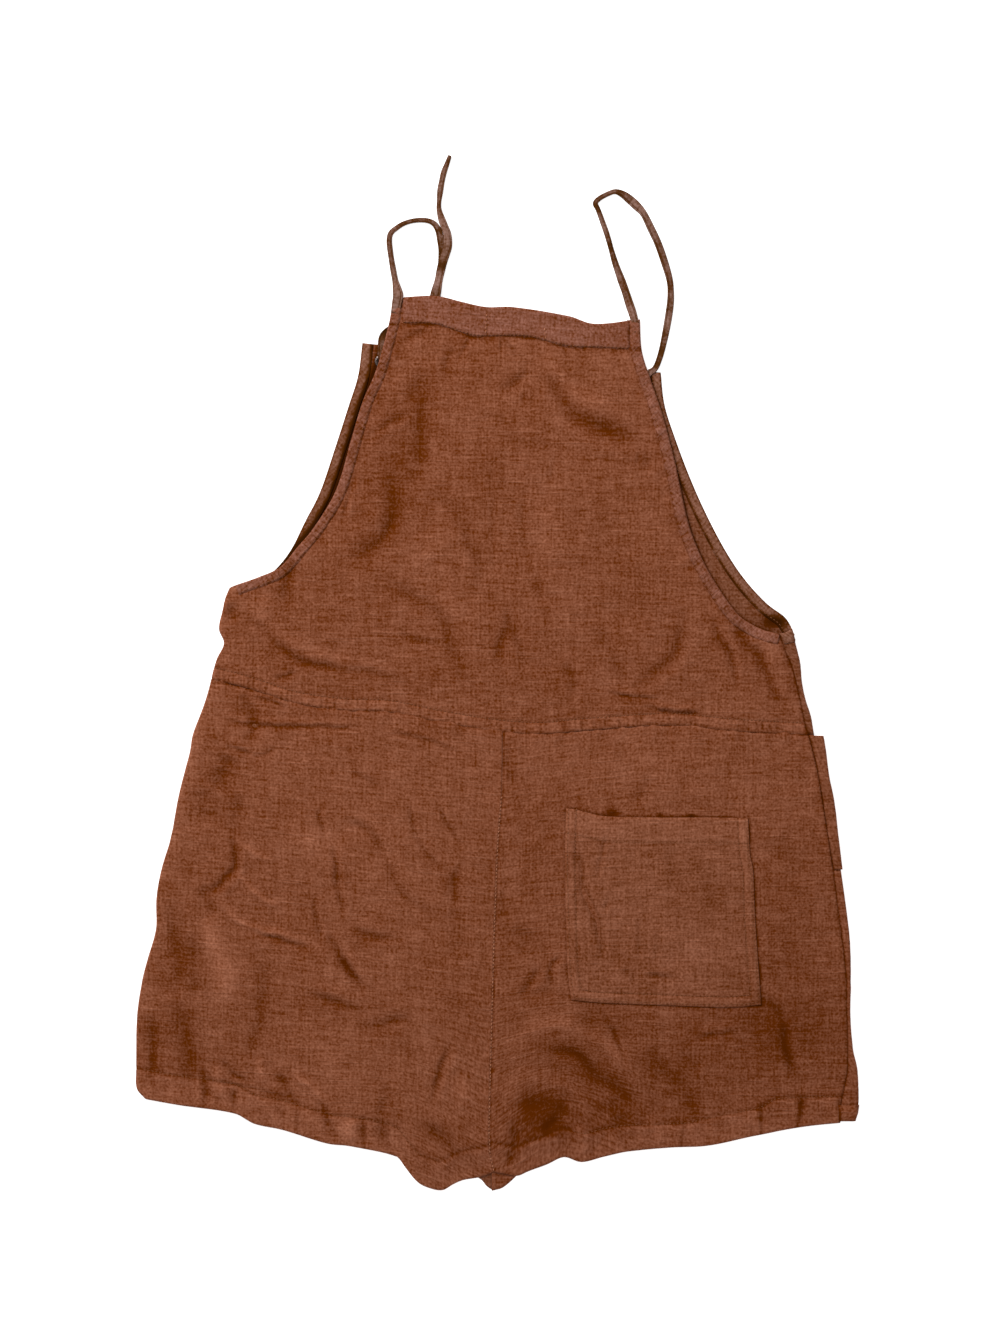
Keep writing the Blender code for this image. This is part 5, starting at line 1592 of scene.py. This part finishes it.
panel("front_pocket_right_cloth", with_lift(right_pocket_grid, 0.95), put_gaping, plain_grain(16000, 0.05),
      PATCH, ["table"])

# %% [markdown]
# ## Straps
# Each strap is a narrow tube of linen, pressed flat. It grows out of the binding at the bib's
# corner, loops on the table and goes through an eyelet in the front. Its free tail comes back out.
# A soft tube twists and folds as it lies, so its width changes along it, and each point of a
# route has its own. A narrow stretch is a folded one: it stands higher and has painted shade in the fold.

# %% The straps' routes
STRAP_WIDTH = 6.0
STRAP_THICK = 1.2
THICKEST = 1.75
WIDE_THICK = 0.8                 # where a strap is spread out, over this much wider than usual
SPREAD = 1.2
FLOOR = STRAP_THICK / 2 + 0.1
OVER = FLOOR + STRAP_THICK + 0.7
ON_FRONT = 1.9
STRAP_LEFT = [
    # x, y, height, width
    (-81.6, 345.0, 4.1, 6.6), (-80.8, 350.5, 4.7, 6.9), (-80.0, 355.5, 5.0, 7.4), (-79.5, 359.0, 4.9, 7.8),
    (-80.0, 362.5, 4.3, 7.2), (-81.0, 367.5, 3.2, 5.6),
    (-82.0, 372, 2.0, 4.5), (-83.6, 380.5, FLOOR, 4.3), (-85.5, 392, FLOOR, 4.1), (-86.7, 403, FLOOR, 4.1),
    (-85.5, 409.5, FLOOR, 4.0), (-80.9, 413.7, FLOOR, 3.8), (-75, 417.3, FLOOR, 3.6),
    (-67, 419.6, FLOOR, 3.4), (-58, 419.9, FLOOR, 3.6), (-51.5, 417.7, FLOOR, 4.0),
    (-47.4, 412, FLOOR, 4.8), (-45.5, 403.6, FLOOR, 5.2), (-44.6, 394.5, FLOOR, 5.2),
    (-45.5, 383, FLOOR, 4.6), (-48, 371, FLOOR, 4.6), (-52, 358, FLOOR, 5.0), (-62, 346, FLOOR, 5.6),
    (-76, 336.5, FLOOR, 5.6), (-86.2, 332.2, 1.0, 5.6), (-91.8, 326.6, ON_FRONT, 5.6),
    (-93.2, 318.5, ON_FRONT, 5.2), (-93.5, 311.5, ON_FRONT, 4.4), (-93.5, 308.4, 1.2, 3.4),
    (-93.4, 307.2, 0.75, 3.0),
]
STRAP_LEFT_TAIL = [
    (-93.2, 306.2, 0.75, 3.0), (-92.2, 305.8, 1.3, 3.6), (-88.5, 306.2, ON_FRONT, 5.0),
    (-79, 308, ON_FRONT, 6.0), (-68, 314, ON_FRONT, 6.0), (-60, 326, ON_FRONT, 6.6),
    (-54.5, 341, OVER, 7.2), (-51, 352, OVER, 7.4), (-49.6, 360, OVER, 7.4), (-47.2, 371, OVER, 6.2),
    (-44.6, 383, OVER, 6.2), (-42.2, 391, OVER, 6.4), (-40.0, 398, OVER, 6.2), (-39.8, 404, OVER, 6.2),
    (-40.4, 409.5, OVER, 5.6), (-42.6, 415, OVER, 5.5), (-44.8, 421, 2.0, 5.4), (-46.8, 428.5, 1.4, 3.9),
    (-46.8, 434.5, 0.9, 3.5), (-45.9, 443.5, FLOOR, 4.5), (-44.5, 451.5, FLOOR, 4.4),
    (-42.9, 458.5, FLOOR, 4.2), (-40.4, 465.3, FLOOR, 3.5), (-38.8, 469.8, FLOOR, 3.0),
    (-38.2, 471.8, FLOOR, 2.4),
]
STRAP_RIGHT = [
    (110.4, 336.5, 4.6, 5.4), (109.3, 340.6, 4.8, 5.6), (107.8, 346, 4.0, 6.0), (105.8, 352, 3.0, 6.2),
    (102.4, 363, 1.5, 5.8), (98.4, 374.3, FLOOR, 5.6), (94.3, 385.7, FLOOR, 4.7), (91, 397, FLOOR, 4.0),
    (87.7, 408.6, FLOOR, 4.0), (83.7, 420, FLOOR, 3.8), (80.6, 428.4, FLOOR, 3.6),
    (78.4, 433.6, FLOOR, 3.8), (82, 437.6, FLOOR, 3.6), (88.6, 441.1, FLOOR, 3.6),
    (94.3, 442.9, FLOOR, 3.8), (100, 441, FLOOR, 5.2), (105.7, 436.8, FLOOR, 6.4),
    (111.4, 431.6, FLOOR, 6.4), (117.1, 425.2, FLOOR, 5.2), (122.9, 413.6, FLOOR, 5.6),
    (128.6, 401.4, FLOOR, 5.4), (133.7, 386.9, FLOOR, 5.4), (137.7, 373.1, FLOOR, 4.7),
    (138.8, 362.9, FLOOR, 4.8), (138.3, 351.4, FLOOR, 5.2), (135.6, 334.3, FLOOR, 5.2),
    (132, 317.1, FLOOR, 4.7), (128.8, 306.5, 1.0, 4.4), (125.8, 300.6, ON_FRONT, 4.4),
    (121.5, 297.5, ON_FRONT, 4.8), (117.5, 292.5, ON_FRONT, 4.6), (116.0, 287.5, ON_FRONT, 4.0),
    (115.7, 285.0, 1.2, 3.4), (115.6, 283.8, 0.75, 3.0),
]
STRAP_RIGHT_TAIL = [
    (115.5, 282.8, 0.75, 3.0), (115.2, 281.6, 1.3, 3.6), (114.4, 277.5, ON_FRONT, 5.2),
    (112, 268, ON_FRONT, 6.0), (104, 247, ON_FRONT, 6.0), (100, 222, ON_FRONT, 5.6),
    (104, 198, ON_FRONT, 6.0), (99.5, 181, ON_FRONT, 5.0), (98, 176, ON_FRONT, 2.6),
]


def smooth_route(route, step=1.2):
    """Points about every step along a smooth curve through the route, and its length."""
    fine = curve_through(route, 24)
    travelled = np.r_[0, np.cumsum(np.linalg.norm(np.diff(fine[:, :3], axis=0), axis=1))]
    stops = np.linspace(0, travelled[-1], int(travelled[-1] / step) + 2)
    return np.stack([np.interp(stops, travelled, fine[:, axis]) for axis in range(4)], 1), travelled[-1]


print("routes:", sum(len(route) for route in (STRAP_LEFT, STRAP_LEFT_TAIL, STRAP_RIGHT, STRAP_RIGHT_TAIL)))

# %% How a strap is swept
STRAP_SECTION = [
    (-1.0, 0.0), (-0.97, 0.6), (-0.86, 0.92), (-0.66, 0.98), (-0.5, 0.8), (-0.36, 0.97), (0.0, 1.0),
    (0.4, 0.94), (0.66, 1.0), (0.88, 0.88), (0.97, 0.55), (1.0, 0.0), (0.94, -0.8), (0.6, -1.0),
    (0.0, -1.0), (-0.6, -1.0), (-0.94, -0.75),
]
# painted shade round the strap's section: darker at its sides, underside and the groove beside its seam, and
# lighter on top with painted light
STRAP_PAINTED_SHADE = (4.0, 2.6, 0.7, 0.0, 3.6, 0.0, -0.8, -0.4, -0.6, 0.6, 2.4, 4.0, 3, 3, 3, 3, 3)
FOLD_WIDTH = 4.0                 # narrower than this, a strap is folded and has painted shade
FOLD_DARK = 1.6
STRAP_GRAIN = 20000              # puts its weave where no panel's is
# x and y of a fold or a twist, how far it reaches, and how much painted shade it has there
STRAP_FOLDS = [
    (-80, 354, 8, -0.8), (-88.5, 329, 5, 7.0), (-83, 334.5, 4, 3.0), (-46.5, 402, 5, 3.5),
    (-45.5, 412, 3, 3.0), (-46.5, 394, 4, 3.0), (-44.8, 384, 3, 3.0), (99, 441.5, 3.5, 4.0),
    (104, 437, 3, 2.5), (128, 305, 4, 4.0), (-86.5, 385, 5, 2.0), (131.5, 316, 6, 2.0),
    (90, 399, 8, 2.0), (80, 431, 5, 2.0), (138, 366, 9, 1.6),
]


def strap(name, route, seed):
    """A flat tube swept along the route, with its ends closed and a groove beside its seam."""
    points, length = smooth_route(route)
    middle, wide = points[:, :3].copy(), points[:, 3]
    run = unit(np.gradient(middle, axis=0))
    sideways = unit(np.stack([-run[:, 1], run[:, 0], np.zeros(len(run))], 1))
    upward = np.cross(run, -sideways)
    upward = upward * np.sign(upward[:, 2:3])
    travelled = np.linspace(0, length, len(points))
    width = wide * (1.1 + 0.05 * swells(travelled, travelled * 0 + seed, 9, seed))
    uneven = 0.92 + 0.08 * unevenness(travelled, 7, seed + 1)
    thick = np.minimum(STRAP_THICK * (STRAP_WIDTH / wide) ** 0.6, THICKEST) * uneven
    thick = np.where(wide > STRAP_WIDTH + SPREAD, WIDE_THICK, thick)
    middle[:, 2] += np.maximum(thick - STRAP_THICK, 0) / 2
    section = np.array(STRAP_SECTION)
    rings = (
        middle[:, None] + sideways[:, None] * (width[:, None] / 2 * section[None, :, 0])[..., None]
        + upward[:, None] * (thick[:, None] / 2 * section[None, :, 1])[..., None]
    )
    rows, columns = rings.shape[:2]
    tube = bmesh.new()
    bmesh.ops.create_grid(tube, x_segments=columns, y_segments=rows - 1, size=0.5)
    closed = np.concatenate([rings, rings[:, :1]], axis=1)
    flat = tube.loops.layers.uv.new("weave")
    dark = tube.verts.layers.float.new("painted_shade")
    painted_shade_across = np.array(STRAP_PAINTED_SHADE + STRAP_PAINTED_SHADE[:1])
    folded = FOLD_DARK * ease(1 - (wide - FOLD_WIDTH + 1) / 2)
    patchy = 1.4 * unevenness(travelled, 11, seed + 2) + 1.0 * unevenness(travelled, 4, seed + 3)
    for fold_x, fold_y, reach, shade_there in STRAP_FOLDS:
        folded += shade_there * bump(np.hypot(middle[:, 0] - fold_x, middle[:, 1] - fold_y), reach)
    painted_shade = painted_shade_across[None] + (folded + patchy)[:, None]
    for vertex, place, value in zip(tube.verts, closed.reshape(-1, 3) * MM, painted_shade.ravel()):
        vertex.co = place
        vertex[dark] = value
    girth = np.r_[0, np.cumsum(np.linalg.norm(np.diff(closed[len(closed) // 2], axis=0), axis=1))]
    turn = np.tile(girth, rows)
    along = np.repeat(travelled, columns + 1)
    tube.verts.index_update()
    for face in tube.faces:
        for loop in face.loops:
            index = loop.vert.index
            loop[flat].uv = (along[index] * MM, (turn[index] + STRAP_GRAIN + 30 * seed) * MM)
    bmesh.ops.remove_doubles(tube, verts=tube.verts, dist=1e-7)
    open_edges = [edge for edge in tube.edges if edge.is_boundary]
    bmesh.ops.holes_fill(tube, edges=open_edges)
    bmesh.ops.recalc_face_normals(tube, faces=tube.faces)
    mesh = mesh_of(name, tube)
    mesh.shade_smooth()
    mesh.materials.append(STRAP)
    made = add(name, mesh)
    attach(made, "root")
    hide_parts(name.removesuffix("_cloth"))
    print(f"{name}: {length:.0f} mm long")


print("section:", len(STRAP_SECTION), "points round")

# %% Straps
strap("strap_left_cloth", STRAP_LEFT, 71)
strap("strap_left_tail_cloth", STRAP_LEFT_TAIL, 73)
strap("strap_right_cloth", STRAP_RIGHT, 75)
strap("strap_right_tail_cloth", STRAP_RIGHT_TAIL, 77)

# %% [markdown]
# ## Eyelets
# Two small brass-like rings with a dull dark finish. The frame's own rings are round and full of
# detail already, so they stay. Their finish is rubbed lighter here and there, as handled metal is.

# %% Eyelets
DULL = (0.07, 0.05, 0.045, 1)
RUBBED = (0.17, 0.135, 0.125, 1)

eyelet_finish, tree, shader = finish_of("dull_metal")
place = node(tree, "TexCoord").outputs["Object"]
cloudy = node(tree, "TexNoise", {"Vector": place, "Scale": 900.0, "Detail": 3.0}).outputs[0]
speckle = node(tree, "TexNoise", {"Vector": place, "Scale": 4200.0, "Detail": 2.0}).outputs[0]
relief = node(tree, "Bump", {"Height": speckle, "Strength": 0.3, "Distance": 0.00005})
feed(tree, shader, {
    "Base Color": mixed(tree, ranged(tree, cloudy, 0.35, 0.65), DULL, RUBBED), "Metallic": 1.0,
    "Roughness": ranged(tree, cloudy, 0.3, 0.7, 0.55, 0.28), "Normal": relief.outputs[0],
})
for side in ("left", "right"):
    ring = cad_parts[f"eyelet_{side}"]
    ring.data.materials.clear()
    ring.data.materials.append(eyelet_finish)
print("eyelets: 2, in", eyelet_finish.name)

# %% [markdown]
# ## Stitches
# Lockstitch in thread of the cloth's own colour holds the bindings, waist, band, hems and pocket.
# The centre seam and two tacks on the band are sewn in a paler one; on the centre seam its pale row
# also stands for a painted highlight along the seam's edge. Each stitch is a short grain
# of thread that sinks into its groove. One panel's stitches are joined into one mesh, and belong
# to that panel.

# %% Thread
STITCH_PITCH = 3.0
STITCH_SHARE = 0.78              # of the pitch that thread covers
STITCH_WIDTH = 0.55
STITCH_HEIGHT = 0.4


def thread(name, deep, worn):
    """Twisted thread, mottled between two colours."""
    material, tree, shader = finish_of(name)
    place = node(tree, "TexCoord").outputs["Object"]
    mottled = node(tree, "TexNoise", {"Vector": place, "Scale": 420.0, "Detail": 2.0}).outputs[0]
    twist = node(tree, "TexNoise", {"Vector": place, "Scale": 5200.0, "Detail": 1.0}).outputs[0]
    relief = node(tree, "Bump", {"Height": twist, "Strength": 0.4, "Distance": 0.0001})
    feed(tree, shader, {
        "Base Color": mixed(tree, ranged(tree, mottled, 0.3, 0.7), (*deep, 1), (*worn, 1)),
        "Normal": relief.outputs[0], "Roughness": 0.7, "Specular IOR Level": GLOSS,
    })
    return material


PLAIN_THREAD = thread("thread", (0.17, 0.055, 0.02), (0.30, 0.115, 0.055))
# pale thread: on the centre seam its row also stands for a painted highlight along the seam's edge
PALE_THREAD_AND_HIGHLIGHT = thread("thread_pale_and_highlight", (0.40, 0.145, 0.07), (0.66, 0.30, 0.175))
print("threads:", PLAIN_THREAD.name, "and", PALE_THREAD_AND_HIGHLIGHT.name)


# %% A row of stitches
def stitches(panel_name, rows, put, finish=PLAIN_THREAD, kind="stitches"):
    """One mesh of stitches on a panel. A row is a chain of (x, y) and its lift off the cloth's middle."""
    grains = bmesh.new()
    for chain, lift in rows:
        count = max(int(length_of(chain) / STITCH_PITCH), 1)
        ends = evenly(chain, 2 * count + 1)
        starts = ends[:-2:2]
        stops = starts + (ends[2::2] - starts) * STITCH_SHARE
        a, b = (put(p[:, 0], p[:, 1], np.full(len(p), lift))[0] for p in (starts, stops))
        for start, stop in zip(a * MM, b * MM):
            run = Vector(stop - start)
            turn = run.to_track_quat("X", "Z")
            size = Vector((run.length, STITCH_WIDTH * MM, STITCH_HEIGHT * MM))
            place = Matrix.LocRotScale(Vector((start + stop) / 2), turn, size)
            bmesh.ops.create_icosphere(grains, subdivisions=1, radius=0.5, matrix=place)
    mesh = mesh_of(f"{panel_name}_{kind}", grains)
    mesh.shade_smooth()
    mesh.materials.append(finish)
    made = add(mesh.name, mesh)
    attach(made, "root")
    SEWN.setdefault(panel_name + "_cloth", []).append(made)
    print(f"{mesh.name}: {len(mesh.polygons) // 20} stitches")


def along_edge(edge, sign, inset):
    """A chain beside an edge, as strip() puts its columns."""
    return strip(edge, sign, [(inset, 0.0)])[:, 0, :2]


def across_table(table, low, high, rise):
    x = np.linspace(low, high, 200)
    return np.stack([x, y_at(table, x) + rise], 1)


def hem_row(table, low, high):
    chain = across_table(table, low, high, 0.8)
    chain[:, 1] += hem_turn(chain[:, 0])
    return chain


print("waist:", int(length_of(across_table(WAIST, -232, 244, 0)) / STITCH_PITCH), "stitches across")

# %% Stitches
# lifts off each cloth's middle
ON_BINDING, ON_STRAP_BASE, ON_FACING = 1.1, 1.32, -1.08
ON_BODICE, ON_BAND, ON_BAND_EDGE, ON_BAND_MIDDLE = 0.56, 1.12, 1.25, 1.6
ON_HEM, ON_CENTRE, ON_POCKET = 0.42, 0.55, POCKET_LIFT + 0.4
BINDING_ROW = 6.2                # from a binding's folded edge

left_row = along_edge(rounded(BACK_ARMHOLE["left"][1:], 1.8), 1, BINDING_ROW)
right_row = along_edge(rounded([foot_right] + BACK_ARMHOLE["right"], 1.8), -1, BINDING_ROW)
tacks = [([(108.0, y), (115.0, y - 0.6)], ON_STRAP_BASE) for y in (330.6, 329.6)]
stitches("back_binding_left", [(left_row, ON_BINDING)], ruffled_back(51))
stitches("back_binding_right", [(right_row, ON_BINDING)] + tacks, ruffled_back(52))
stitches("front_binding_right", [(along_edge(edge_right, -1, BINDING_ROW), ON_FACING)], put_plain_front)

waist_row = across_table(WAIST, -232, 244, ALLOWANCE + 0.5)
band_row = across_table(BAND_SEAM, band_left + 1, band_right - 1, 1.6)
tacks = [([(-9.4, 329), (-8.8, 345)], ON_BAND_MIDDLE), ([(38.4, 324), (37.6, 334)], ON_BAND_EDGE)]
stitches("back_bodice", [(waist_row, ON_BODICE)], put_on(bodice_relief))
stitches("back_top_band", [(band_row, ON_BAND)], ruffled_back(61))
stitches("back_top_band", tacks, ruffled_back(61), PALE_THREAD_AND_HIGHLIGHT, "tacks")

# the centre seam's pale stitches, which are partly a painted highlight along its edge
highlight_over_centre = [(x + 0.1, y) for x, y in CENTRE_SEAM[:-1]]
stitches("back_leg_left", [(hem_row(HEM_LEFT, -283, -60), ON_HEM)], put_on(leg_relief))
stitches("back_leg_right", [(hem_row(HEM_RIGHT, 60, 272), ON_HEM)], put_on(leg_relief))
stitches("back_leg_right", [(highlight_over_centre, ON_CENTRE)], put_on(leg_relief), PALE_THREAD_AND_HIGHLIGHT, "centre")


# %% Stitches of the pocket
def pocket_line(inset):
    """Down the pocket's left side, along its foot and up its right side, inside its edge."""
    foot = [(x, y + inset) for x, y in BACK_POCKET_FOOT]
    foot[0] = (foot[0][0] + inset, foot[0][1])
    foot[-1] = (foot[-1][0] - inset, foot[-1][1])
    down = [(x + inset, y) for x, y in BACK_POCKET_LEFT[::-1] if y > foot[0][1]]
    return down + foot + [(x - inset, y) for x, y in BACK_POCKET_RIGHT if y > foot[-1][1]]


pocket_rows = [pocket_line(inset) for inset in POCKET_ROWS]
pocket_rows.append([(x, y - POCKET_MOUTH) for x, y in BACK_POCKET_TOP])
stitches("back_pocket", [(line, ON_POCKET) for line in pocket_rows], put_on(pocket_relief))

# %% [markdown]
# ## What each piece of cloth is
# Every sheet is said to be one, with the size and area it was cut to, what it lies on, and the
# stitches that go with it.

# %% The sheets, the sizes, and the end
for piece, flat, rests_on, area in SHEETS:
    print(f"{piece.name}: cut from {flat[0] * 1000:.0f} x {flat[1] * 1000:.0f} mm")
